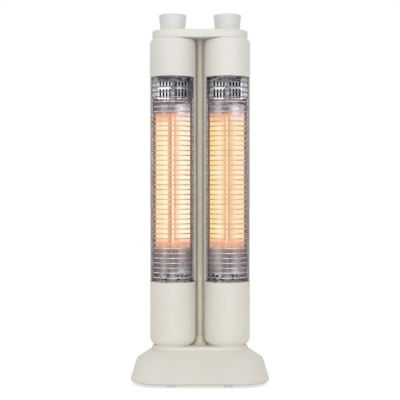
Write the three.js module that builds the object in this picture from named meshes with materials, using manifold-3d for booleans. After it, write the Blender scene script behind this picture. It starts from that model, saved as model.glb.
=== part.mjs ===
// Twin-column electric tube heater: two columns that swivel on one stand, each with a quartz tube
// in front of a two-lobed reflector, tied together at the top by a bridge with two rotary knobs.
// Millimetres, +Z up, front towards -Y, origin on the floor below the middle of the base.
import * as THREE from 'three';
import { mergeVertices } from 'three/addons/utils/BufferGeometryUtils.js';
import Module from 'manifold-3d';

const wasm = await Module();
wasm.setup();

// Clearances
const seatGap = 0.3; // between pieces that rest on or fit in each other
const runningGap = 0.4; // between pieces that turn or slide past each other
const cutOverrun = 1; // how far a cutting shape passes the face it cuts
const weldTolerance = 0.0001; // vertices closer than this are one vertex

// Steps that round forms are drawn with
const columnSteps = 28;
const housingSteps = 16;
const knobSteps = 24;
const ringSteps = 20;
const smallSteps = 12;
const roundStepCount = 3;
const cornerStepCount = 6;
const leadSteps = 36;
const leadSides = 5;
const spineSteps = 4;

// Base
const footHeight = 5.2;
const footRadius = 8;
const footTaper = 1;
const footSpacing = 98;
const footRimInset = 16; // from the front or rear rim to a foot's middle
const skirtClearance = 5.5;
const skirtEdgeRound = 3.6;
const baseWidth = 244;
const baseDepth = 188;
const baseCornerRadius = 52;
const baseWall = 2.5;
const shoulderInset = 7.9; // how far the shoulder stands in from the rim, at each side
const shoulderHeight = 36.5;
const shoulderCornerRadius = 45.5;
const platformHeight = 61.8;
const platformRadius = 38;
const platformWall = 5;
const platformEdgeReach = 3.8;
const platformPlate = 3;
const flareRise = 8;
const basePlateThickness = 2;
const screwSideInset = 34; // from a side rim to a screw
const screwRimInset = 46; // from the front or rear rim to a screw
const screwRadius = 1.6;
const screwHeadRadius = 3.4;
const screwHeadHeight = 1.8;
const screwGrip = 14;
const screwBossRadius = 5;
const ballastWidth = 150;
const ballastFrontRoom = 11.3; // between the tip-over switch and the ballast
const ballastRearRoom = 7.6; // between the ballast and the terminal block
const ballastHeight = 12;
const ballastCornerRadius = 6;

// Cord gland and terminal block
const glandRise = 0.7; // between the base plate and its collar
const glandBore = 3.5;
const glandRadius = 5.7;
const glandCollarRadius = 8.5;
const glandCollarLength = 3.5;
const glandReach = 6.5; // how far it stands out of the rear slope at its axis
const terminalWidth = 44;
const terminalDepth = 16;
const terminalHeight = 14;
const terminalRoom = 6.5; // between the gland and the terminal block

// Tip-over switch
const tipSwitchClearance = 2.2; // from its top edge to the front slope
const tipSwitchWidth = 30;
const tipSwitchDepth = 18;
const tipSwitchHeight = 20;
const plungerRadius = 3.5;
const plungerFlangeRadius = 5.5;
const plungerFlangeHeight = 14;
const plungerFlangeThickness = 2;
const plungerStemRadius = 2.5;
const plungerLength = 23.5;
const plungerHeadroom = 2.5;
const plungerFloorGap = 0.1;

// Columns
const columnRadius = 41.3;
const sleeveWall = 2;
const neckRadius = 32.5;
const neckHeight = 2.4;
const lowerSleeveLength = 113.3;
const lowerRoundRise = 12;
const lowerRoundReach = 7.5;
const lowerFloor = 3;
const windowLength = 365.5;
const upperSleeveLength = 68.3;
const upperRoundRise = 10;
const upperRoundReach = 5;
const upperRoof = 3;

// Column pivots
const lowerSpigotRadius = 13;
const lowerSpigotBore = 10;
const lowerSpigotLength = 17;
const bushWall = 2.6;
const bushFlangeRadius = 19.5;
const bushFlangeThickness = 3;
const clipRadius = 18;
const clipThickness = 2.4;
const upperSpigotRadius = 17;
const upperSpigotBore = 14.5;
const upperSpigotLength = 7;

// Rear housing and its vents
const housingWall = 1.6;
const windowHalfAngle = 68;
const ventCount = 5;
const ventPitch = 8;
const ventHeight = 4;
const ventWidth = 34;
const upperVentDrop = 6;
const lowerVentRise = 6;

// Wire guard
const guardTuckAngle = 5; // how far the guard reaches behind each window edge
const wireSize = 2;
const wireSpaceCount = 42;
const guardRail = 2.4;
const guardStepCount = 5;

// Reflector, its floor and the vent plate
const sheetThickness = 0.8;
const floorThickness = 1;
const floorRimInset = 0.7;
const lipHalfAngle = 76;
const lobeOuterX = 31;
const lobeOuterY = -1.5;
const lobeOuterPullX = 27;
const lobeInnerPullX = 8;
const lobePullY = 15.5;
const cuspHalfWidth = 1.5;
const cuspY = 3.2;
const lobeStepCount = 8;
const ventPlateBackX = 27;
const ventPlateBackY = 9;
const ventPlateShow = 37.3; // the part of it in the window
const ventPlateTuck = 11.2; // the part of it behind the upper sleeve
const slotWidth = 3;
const slotPitch = 5.7;
const slotCount = 9;
const lowerSlotRise = 1.8;
const lowerSlotHeight = 16.7;
const slotRowGap = 5.4;
const upperSlotHeight = 13.4;

// Lamp
const lampSetback = 6;
const lampTubeRadius = 6.5;
const lampTubeWall = 1.3;
const lampBottomTail = 16.4;
const lampTopRise = 0.1; // how far the tube stands above the lower edge of the vent plate
const filamentWidth = 3;
const filamentThickness = 0.8;
const filamentBottomTail = 41.7;
const filamentTopTail = 25.3;
const filamentRodWidth = 1.2;
const lowerCapRadius = 6;
const lowerCapLength = 22;
const lowerCapFlangeRadius = 8;
const lowerCapFlangeThickness = 2;
const upperCapRadius = 4;
const upperCapLength = 22;
const capPlugLength = 4;
const clipRingWall = 1.3;
const clipRingHeight = 6;
const clipRingRise = 6;
const clipArmWidth = 4;
const leadRadius = 1.8;
const leadRoom = 5.5; // between the lead and the thermostat
const leadBend = 14;
const leadFreeRise = 12;
const leadHoleRadius = 3.5;
const thermostatWidth = 16;
const thermostatDepth = 7;
const thermostatHeight = 14;
const thermostatDrop = 60;

// Post and its collar
const postRadius = 5.5;
const postWall = 1;
const postRoom = 2.2; // between the post and a column
const postFootLength = 12;
const postHeadLength = 5;
const postNutRadius = 9;
const postNutHeight = 6;
const spineSetback = 3.8; // from the post's axis to the front of its spine
const spineDepth = 22;
const spineWall = 1;
const collarHeight = 15;
const collarFootRoom = 1.7; // between its foot and the neck of a column
const collarMidHeight = 3;
const collarMidWall = 4.9;
const collarWaistHeight = 7;
const collarWaistWall = 2.1;
const collarTopWall = 1.3;

// Bridge
const bridgeRadius = 36.6;
const bridgeHeight = 14.2;
const bridgeEdgeRound = 1;
const bridgeWall = 2.2;
const bridgePlateThickness = 2.5;

// Rotary switches and knobs
const switchRadius = 12.5;
const switchLength = 22;
const switchNeckRadius = 4.5;
const switchNeckRise = 3;
const switchBoreDepth = 8.5;
const switchNutRadius = 7.5;
const switchNutHeight = 2.2;
const shaftRadius = 3;
const knobHeight = 28.8;
const knobFootRadius = 22;
const knobTopRadius = 25;
const knobEdgeRound = 1.2;
const knobWall = 2.2;
const knobCavity = 8;
const knobHubRadius = 7.5;
const knobHubRise = 4;
const knobBoreDepth = 20;

// Shares
const slopeInsetShare = 1.4; // horizontal inset of a sloping wall for each unit of its thickness
const slopeDropShare = 0.5; // how far the inside of a sloping wall lies lower, for each unit of it
const tightShare = 0.6; // share of a seat gap that stays between the collar and the post

// Places that follow from the sizes
const halfPitch = columnRadius + postRoom + postRadius;
const columnBottom = platformHeight + runningGap;
const windowBottom = columnBottom + lowerSleeveLength;
const windowTop = windowBottom + windowLength;
const columnTop = windowTop + upperSleeveLength;
const bridgeBottom = columnTop + runningGap;
const bridgeTop = bridgeBottom + bridgeHeight;
const knobBottom = bridgeTop + runningGap;
const chamberBottom = windowBottom + seatGap + floorThickness + seatGap;
const chamberTop = windowTop - seatGap;
const basePlateBottom = footHeight + seatGap;
const basePlateTop = basePlateBottom + basePlateThickness;
const baseDeck = basePlateTop + seatGap;
const glandHeight = baseDeck + glandRise + glandCollarRadius;
const housingInner = columnRadius - housingWall;
const sleeveInner = columnRadius - sleeveWall;
const housingHalfStep = (Math.PI - THREE.MathUtils.degToRad(windowHalfAngle)) / housingSteps;
const housingFlat = housingInner * Math.cos(housingHalfStep) - seatGap;
const guardOuter = housingFlat;
const guardInner = guardOuter - wireSize;
const reflectorBottom = chamberBottom + seatGap;
const ventPlateBottom = chamberTop - ventPlateShow;
const ventPlateLength = ventPlateShow + ventPlateTuck;
const lampBottom = chamberBottom + lampBottomTail;
const lampTop = ventPlateBottom + lampTopRise;
const bushBore = lowerSpigotRadius + runningGap;
const bushOuter = bushBore + bushWall;
const bridgeCeiling = bridgeTop - bridgeWall;

// Colours
const cream = { color: 0xdbd8cf, roughness: 0.42, metalness: 0 };
const postCream = { color: 0xb9b4a4, roughness: 0.45, metalness: 0 };
const darkPlastic = { color: 0x2c2c2e, roughness: 0.6, metalness: 0 };
const rubber = { color: 0x3a3a3a, roughness: 0.9, metalness: 0 };
const steel = { color: 0x9a9a9c, roughness: 0.4, metalness: 1 };
const chrome = { color: 0xc8c6c8, roughness: 0.15, metalness: 1 };
const brass = { color: 0xb89a55, roughness: 0.35, metalness: 1 };
const quartz = { color: 0xffe2b0, roughness: 0.1, metalness: 0 };
const carbon = { color: 0xffb060, roughness: 0.8, metalness: 0 };
const leadSleeve = { color: 0xd8d2c4, roughness: 0.8, metalness: 0 };

// Makes a geometry one closed surface with its faces out, from its positions alone.
function closed(geometry) {
  const bare = new THREE.BufferGeometry();
  bare.setAttribute('position', geometry.getAttribute('position').clone());
  bare.setIndex(geometry.index ? geometry.index.clone() : null);
  const merged = mergeVertices(bare, weldTolerance);
  const place = merged.getAttribute('position');
  const from = merged.index.array;
  const corner = (i) => new THREE.Vector3().fromBufferAttribute(place, i);
  const faces = [];
  let volume = 0;
  for (let i = 0; i < from.length; i += 3) {
    const [a, b, c] = [from[i], from[i + 1], from[i + 2]];
    if (a === b || b === c || c === a) continue;
    faces.push(a, b, c);
    volume += corner(a).dot(corner(b).cross(corner(c)));
  }
  if (volume < 0) faces.reverse();
  merged.setIndex(faces);
  merged.computeVertexNormals();
  return merged;
}

function solidOf(geometry) {
  const skin = closed(geometry);
  const vertProperties = new Float32Array(skin.getAttribute('position').array);
  const triVerts = new Uint32Array(skin.index.array);
  return new wasm.Manifold(new wasm.Mesh({ numProp: 3, vertProperties, triVerts }));
}

function geometryOf(solid) {
  const made = solid.getMesh();
  const geometry = new THREE.BufferGeometry();
  geometry.setAttribute('position', new THREE.BufferAttribute(made.vertProperties, 3));
  geometry.setIndex(new THREE.BufferAttribute(made.triVerts, 1));
  geometry.computeVertexNormals();
  return geometry;
}

const cut = (geometry, tools) =>
  geometryOf(tools.reduce((solid, tool) => solid.subtract(solidOf(tool)), solidOf(geometry)));

const join = (geometry, others) =>
  geometryOf(others.reduce((solid, other) => solid.add(solidOf(other)), solidOf(geometry)));

function piece(name, geometry, look) {
  const mesh = new THREE.Mesh(geometry, new THREE.MeshStandardMaterial(look));
  mesh.name = name;
  return mesh;
}

// A turned solid about the Z axis from [radius, height] points, on the axis at both ends or closed.
function turned(points, steps) {
  const profile = points.map(([radius, height]) => new THREE.Vector2(radius, height));
  return closed(new THREE.LatheGeometry(profile, steps).rotateX(Math.PI / 2));
}

const turnedRing = (points, steps) => turned([...points, points[0]], steps);

const tube = (inner, outer, bottom, top, steps) =>
  turnedRing([[inner, bottom], [outer, bottom], [outer, top], [inner, top]], steps);

const rod = (radius, bottom, top, steps) =>
  turned([[0, bottom], [radius, bottom], [radius, top], [0, top]], steps);

function block(width, depth, height, x, y, bottom) {
  return new THREE.BoxGeometry(width, depth, height).translate(x, y, bottom + height / 2);
}

// Points of a quarter of an ellipse, from its first axis to its second, both ends included.
function quarter(centreR, centreZ, reach, rise, fromAngle) {
  return Array.from({ length: roundStepCount + 1 }, (_, i) => {
    const angle = fromAngle + (i / roundStepCount) * (Math.PI / 2);
    return [centreR + reach * Math.cos(angle), centreZ + rise * Math.sin(angle)];
  });
}

// One level of a loft: a rectangle with round corners, which is a stadium where radius = halfY.
function level(halfX, halfY, radius, height) {
  const points = [];
  const signs = [[1, 1], [-1, 1], [-1, -1], [1, -1]];
  signs.forEach(([signX, signY], corner) => {
    for (let step = 0; step <= cornerStepCount; step += 1) {
      const angle = (corner + step / cornerStepCount) * (Math.PI / 2);
      const x = signX * (halfX - radius) + radius * Math.cos(angle);
      const y = signY * (halfY - radius) + radius * Math.sin(angle);
      points.push(new THREE.Vector3(x, y, height));
    }
  });
  return points;
}

const stadium = (radius, height) => level(halfPitch + radius, radius, radius, height);

// A closed solid through levels of equal point counts, with flat ends.
function loft(levels) {
  const count = levels[0].length;
  const middle = (ring) =>
    ring.reduce((sum, p) => sum.add(p), new THREE.Vector3()).divideScalar(count);
  const points = [...levels.flat(), middle(levels[0]), middle(levels.at(-1))];
  const last = (levels.length - 1) * count;
  const faces = [];
  for (let i = 0; i < count; i += 1) {
    const next = (i + 1) % count;
    faces.push(points.length - 2, next, i);
    faces.push(points.length - 1, last + i, last + next);
    for (let base = 0; base < last; base += count) {
      faces.push(base + i, base + next, base + count + next);
      faces.push(base + i, base + count + next, base + count + i);
    }
  }
  const geometry = new THREE.BufferGeometry().setFromPoints(points);
  geometry.setIndex(faces);
  return closed(geometry);
}

// Points round a circle in the XY plane.
function circle(x, y, radius, steps) {
  return Array.from({ length: steps }, (_, i) => {
    const angle = (i / steps) * Math.PI * 2;
    return new THREE.Vector2(x + radius * Math.cos(angle), y + radius * Math.sin(angle));
  });
}

// A flat plate of a given outline with round holes, each [x, y, radius, steps].
function plate(outline, holes, bottom, thickness) {
  const shape = new THREE.Shape(outline.map((p) => new THREE.Vector2(p.x, p.y)));
  shape.holes = holes.map((hole) => new THREE.Path(circle(...hole)));
  const options = { depth: thickness, bevelEnabled: false };
  return closed(new THREE.ExtrudeGeometry(shape, options).translate(0, 0, bottom));
}

// The grid of cells that isSolid picks, with grid corners put in place by a function.
function cellSolid(us, vs, ws, isSolid, place) {
  const points = [];
  const index = (i, j, k) => (i * vs.length + j) * ws.length + k;
  us.forEach((u) => vs.forEach((v) => ws.forEach((w) => points.push(place(u, v, w)))));
  const inside = (i, j, k) =>
    i >= 0 && j >= 0 && k >= 0 && i < us.length - 1 && j < vs.length - 1 && k < ws.length - 1 &&
    isSolid(i, j, k);
  const faces = [];
  const quad = (a, b, c, d) => faces.push(a, b, c, a, c, d);
  for (let i = 0; i < us.length - 1; i += 1) {
    for (let j = 0; j < vs.length - 1; j += 1) {
      for (let k = 0; k < ws.length - 1; k += 1) {
        if (!inside(i, j, k)) continue;
        const at = (di, dj, dk) => index(i + di, j + dj, k + dk);
        if (!inside(i - 1, j, k)) quad(at(0, 0, 0), at(0, 0, 1), at(0, 1, 1), at(0, 1, 0));
        if (!inside(i + 1, j, k)) quad(at(1, 0, 0), at(1, 1, 0), at(1, 1, 1), at(1, 0, 1));
        if (!inside(i, j - 1, k)) quad(at(0, 0, 0), at(1, 0, 0), at(1, 0, 1), at(0, 0, 1));
        if (!inside(i, j + 1, k)) quad(at(0, 1, 0), at(0, 1, 1), at(1, 1, 1), at(1, 1, 0));
        if (!inside(i, j, k - 1)) quad(at(0, 0, 0), at(0, 1, 0), at(1, 1, 0), at(1, 0, 0));
        if (!inside(i, j, k + 1)) quad(at(0, 0, 1), at(1, 0, 1), at(1, 1, 1), at(0, 1, 1));
      }
    }
  }
  const geometry = new THREE.BufferGeometry().setFromPoints(points);
  geometry.setIndex(faces);
  return closed(geometry);
}

// Base shell
// Half depth of the straight front and back slope at a height.
function slopeDepth(height) {
  const low = skirtClearance + skirtEdgeRound;
  const high = platformHeight - platformWall;
  return THREE.MathUtils.mapLinear(height, low, high, baseDepth / 2, platformRadius);
}

function baseOuter() {
  const lowHeight = skirtClearance + skirtEdgeRound;
  const flareHeight = platformHeight - flareRise;
  const domeRadius = platformRadius - platformEdgeReach;
  const domeBottom = platformHeight - platformWall;
  const dome = quarter(domeRadius, domeBottom, platformEdgeReach, platformWall, 0);
  return loft([
    level(
      baseWidth / 2 - skirtEdgeRound, baseDepth / 2 - skirtEdgeRound,
      baseCornerRadius - skirtEdgeRound, skirtClearance,
    ),
    level(baseWidth / 2, baseDepth / 2, baseCornerRadius, lowHeight),
    level(shoulderHalf, slopeDepth(shoulderHeight), shoulderCornerRadius, shoulderHeight),
    stadium(slopeDepth(flareHeight), flareHeight),
    ...dome.map(([radius, height]) => stadium(radius, height)),
  ]);
}

const shoulderHalf = baseWidth / 2 - shoulderInset;
const baseInset = baseWall * slopeInsetShare;
const baseDrop = baseWall * slopeDropShare;

// Half size of the room inside the base shell, between its rim and its shoulder.
function innerHalf(rimHalf, shoulderHalf, height) {
  const top = shoulderHeight - baseDrop;
  return THREE.MathUtils.mapLinear(height, skirtClearance, top, rimHalf, shoulderHalf) - baseInset;
}

const innerHalfWidth = (height) => innerHalf(baseWidth / 2, shoulderHalf, height);
const innerHalfDepth = (height) => innerHalf(baseDepth / 2, slopeDepth(shoulderHeight), height);

function baseRoom() {
  const low = skirtClearance - cutOverrun;
  const shoulder = shoulderHeight - baseDrop;
  const flareHeight = platformHeight - flareRise;
  return loft([
    level(innerHalfWidth(low), innerHalfDepth(low), baseCornerRadius - baseInset, low),
    level(
      innerHalfWidth(shoulder), innerHalfDepth(shoulder),
      shoulderCornerRadius - baseInset, shoulder,
    ),
    stadium(slopeDepth(flareHeight) - baseInset, flareHeight - baseDrop),
    stadium(platformRadius - baseInset, platformHeight - platformPlate),
  ]);
}

const screwX = baseWidth / 2 - screwSideInset;
const screwY = baseDepth / 2 - screwRimInset;
const footY = baseDepth / 2 - footRimInset;
const screwPlaces = [[-screwX, -screwY], [screwX, -screwY], [-screwX, screwY], [screwX, screwY]];

// The gland's collar stops short of the slope behind its top edge.
const glandCollarBack = innerHalfDepth(glandHeight + glandCollarRadius) - seatGap;
const glandLength = slopeDepth(glandHeight) + glandReach - glandCollarBack;
const glandFront = glandCollarBack - glandCollarLength;
const switchTop = baseDeck + tipSwitchHeight;
const tipSwitchY = tipSwitchDepth / 2 + tipSwitchClearance - innerHalfDepth(switchTop);
const terminalMiddle = glandFront - terminalRoom - terminalDepth / 2;
const ballastFront = tipSwitchY + tipSwitchDepth / 2 + ballastFrontRoom;
const ballastBack = terminalMiddle - terminalDepth / 2 - ballastRearRoom;

function baseShell() {
  const outer = solidOf(baseOuter());
  const boss = rod(screwBossRadius, baseDeck, platformHeight, smallSteps);
  const bosses = screwPlaces.map(([x, y]) => solidOf(boss.clone().translate(x, y, 0)));
  const reach = platformPlate + cutOverrun;
  const bore = (radius, x) =>
    rod(radius + seatGap, platformHeight - reach, platformHeight + cutOverrun, ringSteps)
      .translate(x, 0, 0);
  const tools = [
    bore(bushOuter, -halfPitch),
    bore(bushOuter, halfPitch),
    bore(postRadius, 0),
    alongDepth(rod(glandRadius + seatGap, 0, glandLength, ringSteps), glandCollarBack),
    ...screwPlaces.map(([x, y]) =>
      rod(screwRadius + seatGap, 0, screwGrip + baseDeck, smallSteps).translate(x, y, 0)),
  ];
  const hollow = outer.subtract(solidOf(baseRoom()));
  const stiffened = bosses.reduce((solid, each) => solid.add(each.intersect(outer)), hollow);
  return cut(geometryOf(stiffened), tools);
}

// Lays a turned solid along +Y from a given y, at the height of the cord gland.
const alongDepth = (geometry, start) =>
  geometry.rotateX(-Math.PI / 2).translate(0, start, glandHeight);

function basePlate() {
  const halfX = innerHalfWidth(basePlateTop) - seatGap;
  const halfY = innerHalfDepth(basePlateTop) - seatGap;
  const outline = level(halfX, halfY, baseCornerRadius - baseInset - seatGap, 0);
  const holes = screwPlaces.map(([x, y]) => [x, y, screwRadius + seatGap, smallSteps]);
  holes.push([0, tipSwitchY, plungerRadius + runningGap, smallSteps]);
  return plate(outline, holes, basePlateBottom, basePlateThickness);
}

function plateScrew() {
  const headTop = basePlateBottom - seatGap;
  return turned([
    [0, headTop - screwHeadHeight],
    [screwHeadRadius, headTop - screwHeadHeight / 2],
    [screwHeadRadius, headTop],
    [screwRadius, headTop],
    [screwRadius, baseDeck + screwGrip - seatGap],
    [0, baseDeck + screwGrip - seatGap],
  ], smallSteps);
}

function foot() {
  return turned([
    [0, 0],
    [footRadius - footTaper, 0],
    [footRadius, footTaper],
    [footRadius, footHeight],
    [0, footHeight],
  ], smallSteps);
}

function cordGland() {
  return alongDepth(turnedRing([
    [glandBore, 0],
    [glandCollarRadius, 0],
    [glandCollarRadius, glandCollarLength],
    [glandRadius, glandCollarLength],
    [glandRadius, glandCollarLength + glandLength],
    [glandBore, glandCollarLength + glandLength],
  ], ringSteps), glandFront);
}

function ballast() {
  const halfDepth = (ballastBack - ballastFront) / 2;
  const outline = level(ballastWidth / 2, halfDepth, ballastCornerRadius, 0);
  const slab = plate(outline, [], baseDeck, ballastHeight);
  return slab.translate(0, ballastFront + halfDepth, 0);
}

// Tip-over switch: a housing with a stepped bore, and the plunger that hangs in it.
function tipSwitch() {
  const flangeTop = plungerFlangeHeight + plungerFlangeThickness;
  const room = rod(
    plungerFlangeRadius + runningGap, 0, flangeTop + plungerHeadroom, smallSteps,
  );
  const stemRoom = rod(
    plungerStemRadius + runningGap, 0, plungerLength + runningGap, smallSteps,
  );
  const housing = block(tipSwitchWidth, tipSwitchDepth, tipSwitchHeight, 0, 0, baseDeck);
  return cut(housing, [room, stemRoom]).translate(0, tipSwitchY, 0);
}

function tipPlunger() {
  const flangeTop = plungerFlangeHeight + plungerFlangeThickness;
  return turned([
    [0, plungerFloorGap],
    [plungerRadius, plungerFloorGap],
    [plungerRadius, plungerFlangeHeight],
    [plungerFlangeRadius, plungerFlangeHeight],
    [plungerFlangeRadius, flangeTop],
    [plungerStemRadius, flangeTop],
    [plungerStemRadius, plungerLength],
    [0, plungerLength],
  ], smallSteps).translate(0, tipSwitchY, 0);
}

function base() {
  const group = new THREE.Group();
  group.add(
    piece('base_shell', baseShell(), cream),
    piece('base_plate', basePlate(), darkPlastic),
    piece('ballast_weight', ballast(), steel),
    piece('cord_gland', cordGland(), rubber),
    piece('tip_switch', tipSwitch(), darkPlastic),
    piece('tip_plunger', tipPlunger(), darkPlastic),
    piece(
      'terminal_block',
      block(terminalWidth, terminalDepth, terminalHeight, 0, terminalMiddle, baseDeck),
      darkPlastic,
    ),
  );
  for (const [sideName, signX] of [['left', -1], ['right', 1]]) {
    for (const [endName, signY] of [['front', -1], ['rear', 1]]) {
      const pad = piece(`foot_${endName}_${sideName}`, foot(), rubber);
      pad.position.set((signX * footSpacing) / 2, signY * footY, 0);
      const screw = piece(`plate_screw_${endName}_${sideName}`, plateScrew(), steel);
      screw.position.set(signX * screwX, signY * screwY, 0);
      group.add(pad, screw);
    }
  }
  return group;
}

// Post
const collarFoot = halfPitch - neckRadius - collarFootRoom;
const collarTop = platformHeight + seatGap + collarHeight;

function collar() {
  const bottom = platformHeight + seatGap;
  const inner = postRadius + seatGap * tightShare;
  return turnedRing([
    [inner, bottom],
    [collarFoot, bottom],
    [postRadius + collarMidWall, bottom + collarMidHeight],
    [postRadius + collarWaistWall, bottom + collarWaistHeight],
    [postRadius + collarTopWall, collarTop],
    [inner, collarTop],
  ], ringSteps);
}

// Section between the columns: its sides follow a circle about each column's axis.
function spineSection(radius, front, back) {
  const sides = Array.from({ length: spineSteps + 1 }, (_, i) => {
    const y = THREE.MathUtils.lerp(front, back, i / spineSteps);
    return new THREE.Vector2(halfPitch - Math.sqrt(radius ** 2 - y ** 2), y);
  });
  return [...sides, ...sides.map((p) => new THREE.Vector2(-p.x, p.y)).reverse()];
}

// Round post with a hollow spine behind it, which closes the view between the columns. Its solid
// foot passes behind the collar and ends just above the platform.
function centrePost() {
  const bottom = platformHeight - postFootLength;
  const top = bridgeBottom + bridgePlateThickness + postHeadLength;
  const radius = columnRadius + postRoom;
  const spineBottom = collarTop + seatGap;
  const length = bridgeBottom - seatGap - spineBottom;
  const footBottom = platformHeight + seatGap;
  const outer = spineSection(radius, spineSetback, spineDepth);
  const room = spineSection(radius + spineWall, postRadius + spineWall, spineDepth - spineWall);
  const behind = spineSection(radius, collarFoot + seatGap, spineDepth);
  const foot = plate(behind, [], footBottom, spineBottom + spineWall - footBottom);
  const spine = cut(plate(outer, [], spineBottom, length), [
    plate(room, [], spineBottom - cutOverrun, length + cutOverrun * 2),
  ]);
  const post = join(rod(postRadius, bottom, top, ringSteps), [spine, foot]);
  return cut(post, [
    rod(postRadius - postWall, bottom - cutOverrun, top + cutOverrun, ringSteps),
  ]);
}

function postParts() {
  const group = new THREE.Group();
  const nutTop = platformHeight - platformPlate - seatGap;
  const nut = tube(postRadius + seatGap, postNutRadius, nutTop - postNutHeight, nutTop, ringSteps);
  group.add(
    piece('centre_post', centrePost(), postCream),
    piece('post_collar', collar(), cream),
    piece('post_nut', nut, steel),
  );
  return group;
}

// Bridge
function bridgeCover() {
  const edge = quarter(
    bridgeRadius - bridgeEdgeRound, bridgeTop - bridgeEdgeRound,
    bridgeEdgeRound, bridgeEdgeRound, 0,
  );
  const outer = loft([
    stadium(bridgeRadius, bridgeBottom),
    ...edge.map(([radius, height]) => stadium(radius, height)),
  ]);
  const inner = loft([
    stadium(bridgeRadius - bridgeWall, bridgeBottom - cutOverrun),
    stadium(bridgeRadius - bridgeWall, bridgeCeiling),
  ]);
  const hole = rod(
    switchNeckRadius + seatGap, bridgeCeiling - cutOverrun, bridgeTop + cutOverrun, smallSteps,
  );
  const holes = [-halfPitch, halfPitch].map((x) => hole.clone().translate(x, 0, 0));
  return cut(outer, [inner, ...holes]);
}

function bridgeBase() {
  const radius = bridgeRadius - bridgeWall - seatGap;
  const holes = [
    [-halfPitch, 0, upperSpigotRadius + runningGap, ringSteps],
    [halfPitch, 0, upperSpigotRadius + runningGap, ringSteps],
    [0, 0, postRadius + seatGap, ringSteps],
  ];
  return plate(stadium(radius, 0), holes, bridgeBottom, bridgePlateThickness);
}

// Parts of the stand that repeat at each column, with the column's axis at x = 0
function lowerBush() {
  const bottom = platformHeight - platformPlate - seatGap - bushFlangeThickness;
  return turnedRing([
    [bushBore, bottom],
    [bushFlangeRadius, bottom],
    [bushFlangeRadius, bottom + bushFlangeThickness],
    [bushOuter, bottom + bushFlangeThickness],
    [bushOuter, platformHeight],
    [bushBore, platformHeight],
  ], ringSteps);
}

const switchBottom = bridgeCeiling - seatGap - switchLength;
const switchNeckTop = bridgeTop + switchNeckRise;
const shaftBottom = switchNeckTop - switchBoreDepth + seatGap;

function rotarySwitch() {
  const top = bridgeCeiling - seatGap;
  const bore = shaftRadius + runningGap;
  return turned([
    [0, switchBottom],
    [switchRadius, switchBottom],
    [switchRadius, top],
    [switchNeckRadius, top],
    [switchNeckRadius, switchNeckTop],
    [bore, switchNeckTop],
    [bore, switchNeckTop - switchBoreDepth],
    [0, switchNeckTop - switchBoreDepth],
  ], ringSteps);
}

function switchNut() {
  const hexagon = circle(0, 0, switchNutRadius, 6);
  const hole = [0, 0, switchNeckRadius + seatGap, smallSteps];
  return plate(hexagon, [hole], bridgeTop + seatGap, switchNutHeight);
}

function knobParts(side) {
  const hubBottom = knobBottom + knobHubRise;
  const boreTop = hubBottom + knobBoreDepth;
  const ceiling = knobBottom + knobCavity;
  const top = knobBottom + knobHeight;
  const bore = shaftRadius + seatGap;
  const edge = quarter(
    knobTopRadius - knobEdgeRound, top - knobEdgeRound, knobEdgeRound, knobEdgeRound, 0,
  );
  const knob = turned([
    [0, boreTop],
    [bore, boreTop],
    [bore, hubBottom],
    [knobHubRadius, hubBottom],
    [knobHubRadius, ceiling],
    [knobFootRadius - knobWall, ceiling],
    [knobFootRadius - knobWall, knobBottom],
    [knobFootRadius, knobBottom],
    ...edge,
    [0, top],
  ], knobSteps);
  const shaft = rod(shaftRadius, shaftBottom, boreTop - seatGap, smallSteps);
  return [piece(`${side}_knob`, knob, cream), piece(`${side}_knob_shaft`, shaft, steel)];
}

// Column, about its own axis
function lowerSleeve() {
  const roundBottom = columnBottom + neckHeight;
  const corner = quarter(
    columnRadius - lowerRoundReach, roundBottom + lowerRoundRise,
    lowerRoundReach, lowerRoundRise, -Math.PI / 2,
  );
  const floorTop = roundBottom + lowerFloor;
  const spigotBottom = columnBottom - lowerSpigotLength;
  return turnedRing([
    [neckRadius, columnBottom],
    [neckRadius, roundBottom],
    ...corner,
    [columnRadius, windowBottom],
    [sleeveInner, windowBottom],
    [sleeveInner, roundBottom + lowerRoundRise],
    [neckRadius, floorTop],
    [lowerSpigotBore, floorTop],
    [lowerSpigotBore, spigotBottom],
    [lowerSpigotRadius, spigotBottom],
    [lowerSpigotRadius, columnBottom],
  ], columnSteps);
}

function upperSleeve() {
  const corner = quarter(
    columnRadius - upperRoundReach, columnTop - upperRoundRise,
    upperRoundReach, upperRoundRise, 0,
  );
  const roof = columnTop - upperRoof;
  const spigotTop = columnTop + upperSpigotLength;
  return turnedRing([
    [columnRadius, windowTop],
    ...corner,
    [upperSpigotRadius, columnTop],
    [upperSpigotRadius, spigotTop],
    [upperSpigotBore, spigotTop],
    [upperSpigotBore, roof],
    [sleeveInner - upperRoundReach, roof],
    [sleeveInner, columnTop - upperRoundRise],
    [sleeveInner, windowTop],
  ], columnSteps);
}

function pivotClip() {
  const top = platformHeight - platformPlate - seatGap - bushFlangeThickness - runningGap;
  return tube(lowerSpigotRadius + seatGap, clipRadius, top - clipThickness, top, ringSteps);
}

// Sheet-metal back, open at the front between the two window edges, with two groups of vent slots.
function rearHousing() {
  const edge = THREE.MathUtils.degToRad(windowHalfAngle) - Math.PI / 2;
  const shape = new THREE.Shape();
  shape.absarc(0, 0, columnRadius, edge, Math.PI - edge, false);
  shape.absarc(0, 0, housingInner, Math.PI - edge, edge, true);
  const height = chamberTop - chamberBottom;
  const options = { depth: height, bevelEnabled: false, curveSegments: housingSteps / 2 };
  const band = new THREE.ExtrudeGeometry(shape, options).translate(0, 0, chamberBottom);
  const vent = (bottom) => block(ventWidth, columnRadius, ventHeight, 0, columnRadius, bottom);
  const rows = Array.from({ length: ventCount }, (_, i) => i * ventPitch);
  const upperStart = chamberTop - upperVentDrop - ventHeight;
  const lowerStart = chamberBottom + lowerVentRise;
  return cut(band, [
    ...rows.map((offset) => vent(upperStart - offset)),
    ...rows.map((offset) => vent(lowerStart + offset)),
  ]);
}

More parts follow.
